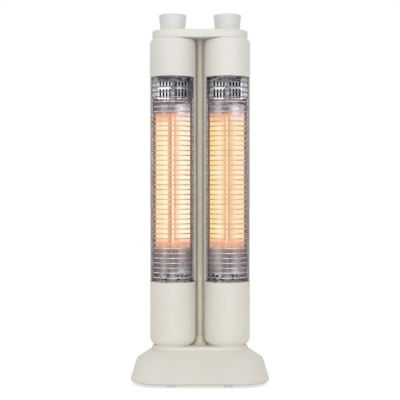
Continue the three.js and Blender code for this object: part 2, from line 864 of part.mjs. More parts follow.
// Curved guard that sits behind the window edges: a rail at each side, and the wires between them.
function guard() {
  const railAngle = guardRail / guardOuter;
  const edge = THREE.MathUtils.degToRad(windowHalfAngle + guardTuckAngle);
  const inner = edge - railAngle;
  const angles = [-edge];
  for (let step = 0; step <= guardStepCount; step += 1) {
    angles.push(THREE.MathUtils.lerp(-inner, inner, step / guardStepCount));
  }
  angles.push(edge);
  const pitch = (chamberTop - chamberBottom - wireSize) / wireSpaceCount;
  const heights = [];
  for (let wire = 0; wire <= wireSpaceCount; wire += 1) {
    const bottom = chamberBottom + wire * pitch;
    heights.push(bottom, bottom + wireSize);
  }
  const isSolid = (i, j) => i === 0 || i === angles.length - 2 || j % 2 === 0;
  const place = (angle, height, radius) =>
    new THREE.Vector3(radius * Math.sin(angle), -radius * Math.cos(angle), height);
  return cellSolid(angles, heights, [guardInner, guardOuter], isSolid, place);
}

// Line moved sideways by a distance, with its corners mitred.
function offsetLine(line, distance) {
  const normal = (a, b) => {
    const along = new THREE.Vector2().subVectors(b, a).normalize();
    return new THREE.Vector2(along.y, -along.x);
  };
  return line.map((point, i) => {
    const before = i > 0 ? normal(line[i - 1], point) : normal(point, line[i + 1]);
    const after = i < line.length - 1 ? normal(point, line[i + 1]) : before;
    const middle = before.clone().add(after).normalize();
    return middle.multiplyScalar(distance / middle.dot(before)).add(point);
  });
}

// Sheet along a mirrored line: the given half runs from the right-hand lip to the middle.
function sheet(rightHalf, bottom, length) {
  const leftHalf = rightHalf.map((p) => new THREE.Vector2(-p.x, p.y)).reverse();
  const front = [...rightHalf, ...leftHalf];
  const back = offsetLine(front, sheetThickness).reverse();
  const options = { depth: length, bevelEnabled: false };
  const shape = new THREE.Shape([...front, ...back]);
  return closed(new THREE.ExtrudeGeometry(shape, options).translate(0, 0, bottom));
}

const lipRadius = sleeveInner - seatGap - sheetThickness;
const lipAngle = THREE.MathUtils.degToRad(lipHalfAngle);
const lip = new THREE.Vector2(lipRadius * Math.sin(lipAngle), -lipRadius * Math.cos(lipAngle));
const lobeOuter = new THREE.Vector2(lobeOuterX, lobeOuterY);

function reflector() {
  const lobe = new THREE.CubicBezierCurve(
    lobeOuter,
    new THREE.Vector2(lobeOuterPullX, lobePullY),
    new THREE.Vector2(lobeInnerPullX, lobePullY),
    new THREE.Vector2(cuspHalfWidth, cuspY),
  );
  const length = ventPlateBottom - seatGap - reflectorBottom;
  return sheet([lip, ...lobe.getPoints(lobeStepCount)], reflectorBottom, length);
}

const lowerSlotBottom = ventPlateBottom + lowerSlotRise;
const upperSlotBottom = lowerSlotBottom + lowerSlotHeight + slotRowGap;

// The middle slot of the lower row is left out, because the lamp clip is fixed there.
function ventPlate() {
  const back = new THREE.Vector2(ventPlateBackX, ventPlateBackY);
  const channel = sheet([lip, lobeOuter, back], ventPlateBottom, ventPlateLength);
  const slot = (i, height, bottom) => {
    const x = (i - (slotCount - 1) / 2) * slotPitch;
    return block(slotWidth, sheetThickness + cutOverrun * 2, height, x, ventPlateBackY, bottom);
  };
  const numbers = Array.from({ length: slotCount }, (_, i) => i);
  const isMiddle = (i) => i * 2 === slotCount - 1;
  return cut(channel, [
    ...numbers.map((i) => slot(i, upperSlotHeight, upperSlotBottom)),
    ...numbers.filter((i) => !isMiddle(i)).map((i) => slot(i, lowerSlotHeight, lowerSlotBottom)),
  ]);
}

function reflectorFloor() {
  const disc = circle(0, 0, columnRadius - floorRimInset, columnSteps);
  const holes = [
    [0, -lampSetback, lowerCapRadius + seatGap, smallSteps],
    [0, leadSetback, leadHoleRadius, smallSteps],
  ];
  return plate(disc, holes, windowBottom + seatGap, floorThickness);
}

// Lamp
const lampBore = lampTubeRadius - lampTubeWall;
const filamentBottom = lampBottom + filamentBottomTail;
const filamentTop = lampTop - filamentTopTail;

function filament() {
  const rodBottom = lampBottom + capPlugLength;
  const rodTop = lampTop - capPlugLength;
  const half = filamentWidth / 2;
  const thin = filamentRodWidth / 2;
  const shape = new THREE.Shape([
    [thin, rodBottom], [thin, filamentBottom], [half, filamentBottom], [half, filamentTop],
    [thin, filamentTop], [thin, rodTop], [-thin, rodTop], [-thin, filamentTop],
    [-half, filamentTop], [-half, filamentBottom], [-thin, filamentBottom], [-thin, rodBottom],
  ].map(([x, height]) => new THREE.Vector2(x, height)));
  const options = { depth: filamentThickness, bevelEnabled: false };
  return new THREE.ExtrudeGeometry(shape, options)
    .rotateX(Math.PI / 2)
    .translate(0, filamentThickness / 2 - lampSetback, 0);
}

function lowerCap() {
  const top = lampBottom - seatGap;
  const plug = lampBore - seatGap;
  const flangeBottom = chamberBottom;
  const flangeTop = flangeBottom + lowerCapFlangeThickness;
  return turned([
    [0, top - lowerCapLength],
    [lowerCapRadius, top - lowerCapLength],
    [lowerCapRadius, flangeBottom],
    [lowerCapFlangeRadius, flangeBottom],
    [lowerCapFlangeRadius, flangeTop],
    [lowerCapRadius, flangeTop],
    [lowerCapRadius, top],
    [plug, top],
    [plug, lampBottom + capPlugLength - seatGap],
    [0, lampBottom + capPlugLength - seatGap],
  ], smallSteps).translate(0, -lampSetback, 0);
}

const upperCapBottom = lampTop + seatGap;
const upperCapTop = upperCapBottom + upperCapLength;

function upperCap() {
  const plug = Math.min(lampBore - seatGap, upperCapRadius);
  return turned([
    [0, lampTop - capPlugLength + seatGap],
    [plug, lampTop - capPlugLength + seatGap],
    [plug, upperCapBottom],
    [upperCapRadius, upperCapBottom],
    [upperCapRadius, upperCapTop],
    [0, upperCapTop],
  ], smallSteps).translate(0, -lampSetback, 0);
}

// Spring clip round the upper cap, on an arm from the middle of the vent plate.
function lampClip() {
  const bore = upperCapRadius + seatGap;
  const outer = bore + clipRingWall;
  const bottom = upperCapBottom + clipRingRise;
  const ring = rod(outer, bottom, bottom + clipRingHeight, ringSteps);
  const armLength = lampSetback + ventPlateBackY - seatGap;
  const arm = block(clipArmWidth, armLength, clipRingHeight, 0, armLength / 2, bottom);
  const room = rod(bore, bottom - cutOverrun, bottom + clipRingHeight + cutOverrun, ringSteps);
  return cut(join(ring, [arm]), [room]).translate(0, -lampSetback, 0);
}

// The thermostat's flat back lies on the inside of the housing, and the lead passes in front of it.
const thermostatBack = Math.sqrt(housingFlat ** 2 - (thermostatWidth / 2) ** 2);
const thermostatFront = thermostatBack - thermostatDepth;
const leadSetback = thermostatFront - leadRoom - leadRadius;

// Lead from the upper cap, over the vent plate, down behind the reflector into the pivot.
function lampLead() {
  const start = upperCapTop + seatGap;
  const crest = ventPlateBottom + ventPlateLength + leadFreeRise;
  const turnIn = windowBottom - leadBend;
  const end = columnBottom - lowerSpigotLength + seatGap;
  const places = [
    [-lampSetback, start],
    [-lampSetback, start + leadBend],
    [leadSetback / 2 - leadBend, crest - leadRadius],
    [leadSetback / 2 + leadRadius, crest],
    [leadSetback, crest - leadBend * 2],
    [leadSetback, crest - leadBend * 4],
    [leadSetback, windowBottom + leadBend],
    [leadSetback, turnIn],
    [leadSetback / 2, turnIn - leadBend * 2],
    [leadRadius, turnIn - leadBend * 4],
    [leadRadius, end],
  ];
  const route = new THREE.CatmullRomCurve3(
    places.map(([y, height]) => new THREE.Vector3(0, y, height)), false, 'centripetal',
  );
  const section = new THREE.Shape(circle(0, 0, leadRadius, leadSides));
  return closed(new THREE.ExtrudeGeometry(section, { steps: leadSteps, extrudePath: route }));
}

// Overheat cut-out on the inside of the housing, with its sensing disc towards the reflector.
function thermostat() {
  const bottom = chamberTop - thermostatDrop;
  const middle = (thermostatFront + thermostatBack) / 2;
  const body = block(
    thermostatWidth, thermostatDepth, thermostatHeight, 0, middle, bottom,
  );
  const disc = rod(thermostatHeight / 2 - runningGap, 0, sheetThickness, smallSteps)
    .rotateX(Math.PI / 2)
    .translate(0, thermostatFront + sheetThickness / 2, bottom + thermostatHeight / 2);
  return join(body, [disc]);
}

function columnParts(side) {
  const lampTube = tube(lampBore, lampTubeRadius, lampBottom, lampTop, ringSteps)
    .translate(0, -lampSetback, 0);
  return [
    piece(`${side}_lower_sleeve`, lowerSleeve(), cream),
    piece(`${side}_upper_sleeve`, upperSleeve(), cream),
    piece(`${side}_pivot_clip`, pivotClip(), steel),
    piece(`${side}_rear_housing`, rearHousing(), cream),
    piece(`${side}_guard`, guard(), chrome),
    piece(`${side}_reflector`, reflector(), chrome),
    piece(`${side}_reflector_floor`, reflectorFloor(), chrome),
    piece(`${side}_vent_plate`, ventPlate(), chrome),
    piece(`${side}_lamp_tube`, lampTube, quartz),
    piece(`${side}_filament`, filament(), carbon),
    piece(`${side}_lower_lamp_cap`, lowerCap(), steel),
    piece(`${side}_upper_lamp_cap`, upperCap(), steel),
    piece(`${side}_lamp_clip`, lampClip(), steel),
    piece(`${side}_lamp_lead`, lampLead(), leadSleeve),
    piece(`${side}_thermostat`, thermostat(), brass),
  ];
}

function standPartsAtColumn(side) {
  return [
    piece(`${side}_lower_bush`, lowerBush(), darkPlastic),
    piece(`${side}_rotary_switch`, rotarySwitch(), darkPlastic),
    piece(`${side}_switch_nut`, switchNut(), brass),
  ];
}

function heater() {
  const group = new THREE.Group();
  group.add(base(), postParts());
  group.add(
    piece('bridge_base', bridgeBase(), cream),
    piece('bridge_cover', bridgeCover(), cream),
  );
  for (const [side, sign] of [['left', -1], ['right', 1]]) {
    const place = new THREE.Group();
    place.position.x = sign * halfPitch;
    place.add(...columnParts(side), ...standPartsAtColumn(side), ...knobParts(side));
    group.add(place);
  }
  return group;
}

export default heater();
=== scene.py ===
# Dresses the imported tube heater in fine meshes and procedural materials, and sets camera and light.
# Metres, in the frame of the CAD model: +Z up, front towards -Y, origin on the floor below the
# middle of the base.
from math import cos, pi, radians, sin, sqrt, tan, tau

import bpy
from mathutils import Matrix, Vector


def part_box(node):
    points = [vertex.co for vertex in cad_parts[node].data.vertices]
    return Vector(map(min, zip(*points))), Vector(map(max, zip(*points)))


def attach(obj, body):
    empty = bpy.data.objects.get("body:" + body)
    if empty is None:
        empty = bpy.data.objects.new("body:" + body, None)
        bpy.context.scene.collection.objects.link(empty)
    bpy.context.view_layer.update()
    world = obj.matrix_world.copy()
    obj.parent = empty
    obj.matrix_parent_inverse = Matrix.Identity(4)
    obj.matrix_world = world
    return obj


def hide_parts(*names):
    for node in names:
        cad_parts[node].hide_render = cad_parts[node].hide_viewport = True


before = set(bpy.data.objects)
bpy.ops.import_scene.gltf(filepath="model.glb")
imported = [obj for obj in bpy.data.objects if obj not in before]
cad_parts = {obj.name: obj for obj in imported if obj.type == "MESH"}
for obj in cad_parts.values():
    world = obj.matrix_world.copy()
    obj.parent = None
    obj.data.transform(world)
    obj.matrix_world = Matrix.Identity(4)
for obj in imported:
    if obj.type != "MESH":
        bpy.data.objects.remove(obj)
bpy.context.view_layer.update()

MM = 0.001
SIDES = ("left", "right")
# Sign of the way from a column to the post
INWARD = {"left": 1, "right": -1}

# Smoothness of the meshes
TURN_STEPS = 96
SMALL_TURN_STEPS = 48
ROUND_STEPS = 5
CORNER_STEPS = 14
CURVE_STEPS = 28
WIRE_STEPS = 28
WIRE_SIDES = 10
STRIP_ROUND_STEPS = 2
GLAND_ROUND_STEPS = 3
COIL_STEPS_PER_TURN = 16
COIL_SIDES = 8
REFLECTOR_ROWS = 60

# Angles from which an edge is shaded as sharp
CREASE = radians(40)
HOOD_CREASE = radians(24)
BRIDGE_CREASE = radians(30)
PLATE_CREASE = radians(20)

# Roundings of edges, from sharp to soft, and gaps between pieces
CRISP = 0.15 * MM
FINE = 0.2 * MM
SLIGHT = 0.3 * MM
SMALL = 0.4 * MM
EDGE = 0.5 * MM
SOFT = 0.6 * MM
FULL = 0.8 * MM
SEAT_GAP = 0.3 * MM
CLOSE_GAP = 0.15 * MM
OVERLAP = 0.2 * MM


# Frame

def axis_x(side):
    low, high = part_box(f"{side}_lower_sleeve")
    return (low.x + high.x) / 2


def span_z(node):
    low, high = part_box(node)
    return low.z, high.z


SLEEVE_LOW, SLEEVE_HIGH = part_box("left_lower_sleeve")
COLUMN_RADIUS = (SLEEVE_HIGH.x - SLEEVE_LOW.x) / 2
PITCH = axis_x("right") - axis_x("left")
CHAMBER_BOTTOM = span_z("left_guard")[0]
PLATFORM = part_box("base_shell")[1].z


# Meshes, each as a list of points and a list of faces

def placed(name, data):
    """A new object in the scene."""
    made = bpy.data.objects.new(name, data)
    bpy.context.scene.collection.objects.link(made)
    return made


def piece(name, shape, body, look, node, crease=CREASE):
    """A smooth-shaded mesh that rides on a body and stands for a CAD node."""
    points, faces = shape
    mesh = bpy.data.meshes.new(name)
    mesh.from_pydata([tuple(p) for p in points], [], faces)
    mesh.validate()
    mesh.polygons.foreach_set("use_smooth", [True] * len(mesh.polygons))
    mesh.set_sharp_from_angle(angle=crease)
    mesh.materials.append(look)
    made = placed(name, mesh)
    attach(made, body)
    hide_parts(node)


def column_piece(side, part, kind, shape, look, crease=CREASE):
    """A piece that turns with a column and stands for one of its nodes."""
    node = f"{side}_{part}"
    piece(f"{node}_{kind}", shape, f"{side}_column", look, node, crease)


def spaced(low, high, steps):
    """Values from low to high, in equal steps."""
    return [low + (high - low) * step / steps for step in range(steps + 1)]


def rounded(corners, closed=True, steps=ROUND_STEPS):
    """A line through (x, y, radius) corners, with an arc at each corner that has a radius."""
    line = []
    count = len(corners)
    for i, (x, y, radius) in enumerate(corners):
        here = Vector((x, y))
        if radius == 0 or (not closed and i in (0, count - 1)):
            line.append(here)
            continue
        before = (Vector(corners[i - 1][:2]) - here).normalized()
        after = (Vector(corners[(i + 1) % count][:2]) - here).normalized()
        half = before.angle(after) / 2
        reach = radius / tan(half)
        centre = here + (before + after).normalized() * (radius / sin(half))
        start = here + before * reach - centre
        end = here + after * reach - centre
        line += [centre + start.slerp(end, share) * radius for share in spaced(0, 1, steps)]
    return line


def pipe(inner, outer, bottom, top, inner_round, outer_round):
    """Corners of a pipe's wall."""
    side = [(inner, inner_round), (outer, outer_round)]
    return [(r, bottom, a) for r, a in side] + [(r, top, a) for r, a in side[::-1]]


def quarter(centre_r, centre_z, reach, rise, start, steps=ROUND_STEPS * 2):
    """Corners along a quarter of an ellipse, from a start angle in degrees, upwards."""
    turns = [radians(turn) for turn in spaced(start, start + 90, steps)]
    return [(centre_r + reach * cos(t), centre_z + rise * sin(t), 0) for t in turns]


def mirrored(line):
    """A line in plan on the other side of the middle, from its end to its start."""
    return [Vector((-p.x, p.y)) for p in reversed(line)]


def loft(levels, looped=False):
    """A mesh through rings of equal length, looped or with a fan at each end."""
    count = len(levels[0])
    points = [p for ring in levels for p in ring]
    after = [*range(1, count), 0]
    faces = []
    for here in range(len(levels) if looped else len(levels) - 1):
        low = here * count
        high = (here + 1) % len(levels) * count
        faces += [(low + i, low + j, high + j, high + i) for i, j in enumerate(after)]
    if not looped:
        tips = len(points)
        last = tips - count
        points += [sum(ring, Vector()) / count for ring in (levels[0], levels[-1])]
        faces += [(tips, j, i) for i, j in enumerate(after)]
        faces += [(tips + 1, last + i, last + j) for i, j in enumerate(after)]
    return points, faces


def turned(corners, x=0.0, y=0.0, steps=TURN_STEPS, closed=True, round_steps=ROUND_STEPS):
    """The mesh of a rounded line turned about an upright axis. An open line ends on it."""
    line = rounded(corners, closed, round_steps)
    turns = spaced(0, tau, steps)[:-1]
    return loft([
        [Vector((x + r * cos(t), y + r * sin(t), z)) for t in turns]
        for r, z in (line if closed else line[1:-1])
    ], looped=closed)


# Signs of the corners of a rectangle, counter-clockwise
CORNER_SIGNS = ((1, 1), (-1, 1), (-1, -1), (1, -1))


def level(half_x, half_y, radius, z):
    """A ring round a rectangle with round corners, at one height."""
    ring = []
    for corner, (sign_x, sign_y) in enumerate(CORNER_SIGNS):
        for share in spaced(0, 1, CORNER_STEPS):
            turn = (corner + share) * pi / 2
            ring.append(Vector((
                sign_x * (half_x - radius) + radius * cos(turn),
                sign_y * (half_y - radius) + radius * sin(turn),
                z,
            )))
    return ring


def stadium(radius, z):
    return level(PITCH / 2 + radius, radius, radius, z)


def direction(path, i):
    """The way that a path goes at one of its points."""
    return (path[min(i + 1, len(path) - 1)] - path[max(i - 1, 0)]).normalized()


NEARLY_UPRIGHT = 0.1


def swept(path, radius, sides):
    """The mesh of a round rod along a path, with flat ends."""
    turns = spaced(0, tau, sides)[:-1]
    rings = []
    for i, here in enumerate(path):
        along = direction(path, i)
        side = along.cross(Vector((0, 0, 1)))
        if side.length < NEARLY_UPRIGHT:
            side = along.cross(Vector((0, 1, 0)))
        side.normalize()
        up = side.cross(along)
        rings.append([here + (side * cos(t) + up * sin(t)) * radius for t in turns])
    return loft(rings)


def extruded(outline, bottom, top):
    """The mesh of a closed outline in plan, between two heights, with flat ends."""
    count = len(outline)
    points = [Vector((p[0], p[1], z)) for z in (bottom, top) for p in outline]
    faces = [tuple(reversed(range(count))), tuple(range(count, 2 * count))]
    faces += [(i, (i + 1) % count, count + (i + 1) % count, count + i) for i in range(count)]
    return points, faces


def joined(*parts):
    """Several meshes as one."""
    points = []
    faces = []
    for part_points, part_faces in parts:
        shift = len(points)
        points += [Vector(p) for p in part_points]
        faces += [tuple(shift + i for i in face) for face in part_faces]
    return points, faces


# Corners of a grid cell's back and front, and of each side with the step to the cell beyond it
CELL_FACES = (
    ((0, 0, 0), (0, 1, 0), (1, 1, 0), (1, 0, 0)),
    ((0, 0, 1), (1, 0, 1), (1, 1, 1), (0, 1, 1)),
)
CELL_SIDES = (
    ((-1, 0), ((0, 0, 0), (0, 0, 1), (0, 1, 1), (0, 1, 0))),
    ((1, 0), ((1, 0, 0), (1, 1, 0), (1, 1, 1), (1, 0, 1))),
    ((0, -1), ((0, 0, 0), (1, 0, 0), (1, 0, 1), (0, 0, 1))),
    ((0, 1), ((0, 1, 0), (0, 1, 1), (1, 1, 1), (1, 1, 0))),
)


def cells(us, vs, is_solid, place, thicknesses):
    """A bent sheet made of grid cells, with the cells that are not solid left open."""
    points = [place(u, v, w) for u in us for v in vs for w in thicknesses]
    faces = []

    def solid(i, j):
        return 0 <= i < len(us) - 1 and 0 <= j < len(vs) - 1 and is_solid(i, j)

    for i in range(len(us) - 1):
        for j in range(len(vs) - 1):
            if not solid(i, j):
                continue
            sides = [corners for (a, b), corners in CELL_SIDES if not solid(i + a, j + b)]
            for corners in (*CELL_FACES, *sides):
                faces.append(tuple(((i + a) * len(vs) + j + b) * 2 + c for a, b, c in corners))
    used = sorted({i for face in faces for i in face})
    renumber = {old: new for new, old in enumerate(used)}
    return [points[i] for i in used], [tuple(renumber[i] for i in face) for face in faces]


# Materials

WHITE = (1, 1, 1, 1)
PATCH_SCALE = 14
METAL_PATCH_SCALE = 60
GRAINS_PER_GLOSS_PATCH = 6
FINE_GRAIN = 1400
FINE_DEPTH = 0.02 * MM


def colour(red, green, blue):
    """Linear colour from sRGB values of 0 to 255."""
    shares = [value / 255 for value in (red, green, blue)]
    return [*(c / 12.92 if c <= 0.04045 else ((c + 0.055) / 1.055) ** 2.4 for c in shares), 1.0]


def ramp_stops(*rows):
    """Stops of a colour ramp, from rows of a position and an sRGB colour."""
    return [(position, colour(*shade)) for position, *shade in rows]


class Nodes:
    """Short calls that add nodes to a node tree."""

    def __init__(self, tree):
        self.tree = tree

    def node(self, kind, **settings):
        made = self.tree.nodes.new(kind)
        for key, value in settings.items():
            setattr(made, key, value)
        return made

    def put(self, socket, value):
        """Links an output to a socket, or sets the socket to a value. A colour of three is sRGB."""
        if isinstance(value, bpy.types.NodeSocket):
            self.tree.links.new(value, socket)
        elif socket.type == "RGBA" and len(value) == 3:
            socket.default_value = colour(*value)
        else:
            socket.default_value = value

    def fill(self, node, **values):
        """Puts values on a node's inputs by name, with _ for a space."""
        for key, value in values.items():
            self.put(node.inputs[key.replace("_", " ")], value)
        return node

    def math(self, operation, *values):
        made = self.node("ShaderNodeMath", operation=operation)
        for socket, value in zip(made.inputs, values):
            self.put(socket, value)
        return made.outputs[0]

    def times(self, first, second):
        return self.math("MULTIPLY", first, second)

    def seen(self):
        """1 where the camera looks, straight or by way of a mirror or glass."""
        rays = self.node("ShaderNodeLightPath").outputs
        bounced = self.math("MAXIMUM", rays["Is Glossy Ray"], rays["Is Transmission Ray"])
        return self.math("MAXIMUM", rays["Is Camera Ray"], bounced)


class Look(Nodes):
    """A material with a Principled shader, and short calls for its patterns."""

    def __init__(self, name):
        self.material = bpy.data.materials.new(name)
        self.material.use_nodes = True
        super().__init__(self.material.node_tree)
        self.shader = self.tree.nodes["Principled BSDF"]
        self.place = self.node("ShaderNodeTexCoord").outputs["Object"]

    def set(self, **values):
        self.fill(self.shader, **values)

    def noise(self, scale, detail=2.0, stretch=(1, 1, 1), roughness=0.5, distortion=0.0):
        mapping = self.fill(self.node("ShaderNodeMapping"), Vector=self.place, Scale=stretch)
        made = self.fill(
            self.node("ShaderNodeTexNoise"),
            Vector=mapping.outputs[0],
            Scale=scale,
            Detail=detail,
            Roughness=roughness,
            Distortion=distortion,
        )
        return made.outputs["Fac"]

    def streaks(self, level_scale, upright_scale, detail=3.0, roughness=0.6, distortion=1.0):
        """Noise with a scale of its own along z."""
        return self.noise(1.0, detail, (level_scale, level_scale, upright_scale), roughness, distortion)

    def within(self, value, low, high, to_low=0.0, to_high=1.0, smooth=True):
        """Maps a value from one range to another and clamps it."""
        made = self.node("ShaderNodeMapRange", interpolation_type="SMOOTHSTEP" if smooth else "LINEAR")
        self.fill(made, Value=value, From_Min=low, From_Max=high, To_Min=to_low, To_Max=to_high)
        return made.outputs[0]

    def between(self, value, low, high, soft):
        """1 between two places and 0 outside them, with soft ends."""
        return self.times(
            self.within(value, low - soft, low + soft), self.within(value, high + soft, high - soft),
        )

    def outside(self, value, low, high, soft):
        return self.math("SUBTRACT", 1.0, self.between(value, low, high, soft))

    def patches(self, scale=PATCH_SCALE):
        """Soft patches, from 0 to 1."""
        return self.within(self.noise(scale, 3.0), 0.35, 0.65)

    def patchy(self, first, second, scale=PATCH_SCALE):
        return self.mix(self.patches(scale), first, second)

    def gloss(self, scale, low, high):
        """A roughness that drifts between two values."""
        return self.within(self.noise(scale), 0.3, 0.7, low, high)

    def mix(self, share, first, second):
        made = self.node("ShaderNodeMix", data_type="RGBA")
        self.put(made.inputs["Factor"], share)
        self.put(made.inputs[6], first)
        self.put(made.inputs[7], second)
        return made.outputs[2]

    def coats(self, base, *layers):
        """Layers over a base, each with a share and what it shows."""
        for share, shade in layers:
            base = self.mix(share, base, shade)
        return base

    def ramp(self, value, stops):
        made = self.fill(self.node("ShaderNodeValToRGB"), Fac=value)
        elements = made.color_ramp.elements
        while len(elements) < len(stops):
            elements.new(1.0)
        for element, (position, shade) in zip(elements, stops):
            element.position = position
            element.color = shade
        return made.outputs["Color"]

    def bump(self, height, distance):
        """Adds relief, and gives the finished material."""
        made = self.fill(self.node("ShaderNodeBump"), Height=height, Distance=distance)
        self.set(Normal=made.outputs[0])
        return self.material

    def axes(self, side=None):
        """x, y and z of a spot, with x from a column's axis where a side is given."""
        x, y, z = self.fill(self.node("ShaderNodeSeparateXYZ"), Vector=self.place).outputs
        return (self.math("SUBTRACT", x, axis_x(side)) if side else x), y, z


def surface(name, shade, tint, rough, grain, depth=FINE_DEPTH, metallic=0.0, alpha=1.0):
    """A plain finish: two close tints in soft patches, fine grain, and uneven gloss."""
    look = Look(name)
    look.set(
        Base_Color=look.patchy(shade, tint),
        Roughness=look.gloss(grain / GRAINS_PER_GLOSS_PATCH, *rough),
        Metallic=metallic,
        Alpha=alpha,
    )
    return look.bump(look.noise(grain), depth)


CREAM = surface("cream_plastic", (229, 227, 221), (225, 223, 217), (0.34, 0.44), FINE_GRAIN)
KNOB_CREAM = surface("knob_cream_plastic", (224, 224, 221), (220, 220, 217), (0.32, 0.42), 1500)
BLACK = surface("black_plastic", (40, 40, 42), (34, 34, 36), (0.5, 0.65), 1200, 0.03 * MM)
RUBBER = surface("pale_rubber", (250, 249, 246), (242, 241, 238), (0.7, 0.85), 1600, 0.04 * MM)
FOOT_RUBBER = surface(
    "clear_rubber", (255, 255, 252), (248, 248, 245), (0.5, 0.65), 1600, 0.04 * MM, alpha=0.3,
)
STEEL = surface("zinc_steel", (170, 170, 172), (150, 151, 155), (0.3, 0.5), 600, 0.01 * MM, metallic=1.0)
BRASS = surface("plain_brass", (196, 164, 100), (176, 145, 84), (0.28, 0.4), 600, 0.01 * MM, metallic=1.0)
CERAMIC = surface("lamp_ceramic", (196, 192, 196), (176, 170, 176), (0.5, 0.65), 900, 0.03 * MM)


def seat_look(name, shade, tint, pale, rough, start, end):
    """Cream plastic that turns paler from one height to another: painted light against the shade where a
    column sits on the base.
    """
    look = Look(name)
    _, _, z = look.axes()
    paint = look.patchy(shade, tint)
    look.set(
        Base_Color=look.mix(look.within(z, start, end), paint, pale),
        Roughness=look.gloss(230, *rough),
    )
    return look.bump(look.noise(FINE_GRAIN), FINE_DEPTH)


# The paler colour near the seat is painted light that offsets the shade between sleeve and base
SLEEVE_CREAM = seat_look(
    "sleeve_cream_plastic", (229, 226, 217), (225, 222, 213), (246, 243, 234), (0.34, 0.44),
    PLATFORM + 5 * MM, PLATFORM + 2 * MM,
)
BASE_CREAM = seat_look(
    "base_cream_plastic", (226, 223, 215), (222, 219, 211), (234, 231, 223), (0.4, 0.5),
    PLATFORM - 3 * MM, PLATFORM - 1 * MM,
)

# Depths in the sheet where its inside turns to painted shade, and places from its side to its front edge
# where painted light makes it paler
HOUSING_LINING = (0.5 * MM, 0.9 * MM)
# Reach towards the post over which the painted light by the window grows
HOUSING_FACING = 5 * MM
HOUSING_SIDE = (4 * MM, -6 * MM)
HOUSING_FRONT = (-14 * MM, -9 * MM)


def housing_look(side):
    """Cream enamel with painted light, paler towards the window and palest on the side that faces the
    post, grey at its edge, and painted shade that makes it dark inside.
    """
    look = Look(f"{side}_housing_enamel")
    u, y, _ = look.axes(side)
    reach = look.math("SQRT", look.math("ADD", look.times(u, u), look.times(y, y)))
    lining = look.within(reach, *(COLUMN_RADIUS - depth for depth in HOUSING_LINING))
    paint = look.patchy((222, 218, 210), (216, 212, 204))
    # Painted light by the window, strongest on the side that faces the post
    inward = look.within(u, 0.0, INWARD[side] * HOUSING_FACING)
    edge = look.mix(inward, (238, 234, 226), (250, 246, 240))
    edge = look.mix(look.within(y, *HOUSING_FRONT), (206, 199, 191), edge)
    paint = look.mix(look.within(y, *HOUSING_SIDE), paint, edge)
    # Painted shade inside the housing, so that its vent slots look dark
    metal = look.patchy((44, 42, 42), (30, 29, 30), METAL_PATCH_SCALE)
    look.set(Base_Color=look.mix(lining, paint, metal), Roughness=look.gloss(120, 0.28, 0.42))
    return look.bump(look.noise(700), 0.03 * MM)


WEAVE_SCALE = 260
WEAVE_DEPTH = 0.1 * MM


def lead_look():
    """Woven sleeve: fine crossing ribs round and along the lead."""
    look = Look("woven_lead")
    weave = look.node("ShaderNodeTexWave", wave_type="BANDS", bands_direction="Z")
    rib = look.fill(weave, Vector=look.place, Scale=WEAVE_SCALE, Distortion=3).outputs["Fac"]
    look.set(
        Base_Color=look.mix(rib, (206, 206, 212), (176, 176, 184)),
        Roughness=look.gloss(500, 0.75, 0.9),
    )
    return look.bump(rib, WEAVE_DEPTH)


# Where painted light makes the post paler, downwards and then backwards, and how much painted glow
# lightens its two gaps
POST_LOW = (210 * MM, 170 * MM)
POST_SIDE = (1 * MM, 3 * MM)
GAP_RANGE = (-5 * MM, 5 * MM)
GAP_LIGHT = (0.03, 0.075)


def post_look():
    """Beige enamel in front, with painted light that makes it paler low down and on the walls behind it,
    a faint painted glow in the gaps, and cream across the back.
    """
    look = Look("post_enamel")
    x, y, z = look.axes()
    front = look.patchy((196, 189, 174), (190, 183, 168))
    front = look.mix(look.within(z, *POST_LOW), front, (209, 202, 182))
    # Painted light on the walls behind the post, which are in deep shade
    behind = look.patchy((254, 244, 224), (248, 238, 218))
    back = look.patchy((229, 226, 217), (225, 222, 213))
    behind = look.mix(look.within(y, SPINE_DEPTH - 2 * MM, SPINE_DEPTH - 1 * MM), behind, back)
    # A faint painted glow that lightens the shaded gaps beside the post
    gaps = look.between(y, 2 * MM, SPINE_DEPTH - 3 * MM, 1 * MM)
    look.set(
        Base_Color=look.mix(look.within(y, *POST_SIDE), front, behind),
        Roughness=look.gloss(130, 0.34, 0.46),
        Emission_Color=(254, 240, 216),
        Emission_Strength=look.times(gaps, look.within(x, *GAP_RANGE, *GAP_LIGHT)),
    )
    return look.bump(look.noise(800), FINE_DEPTH)


# Heights of a band of painted dusky reflection on the reflector sheet; above its top the wires take
# painted shade
DUSK_BOTTOM = 494 * MM
DUSK_TOP = 503 * MM
# Strength of the glow painted on the wires in front of the lamp
WIRE_GLOW = 0.28


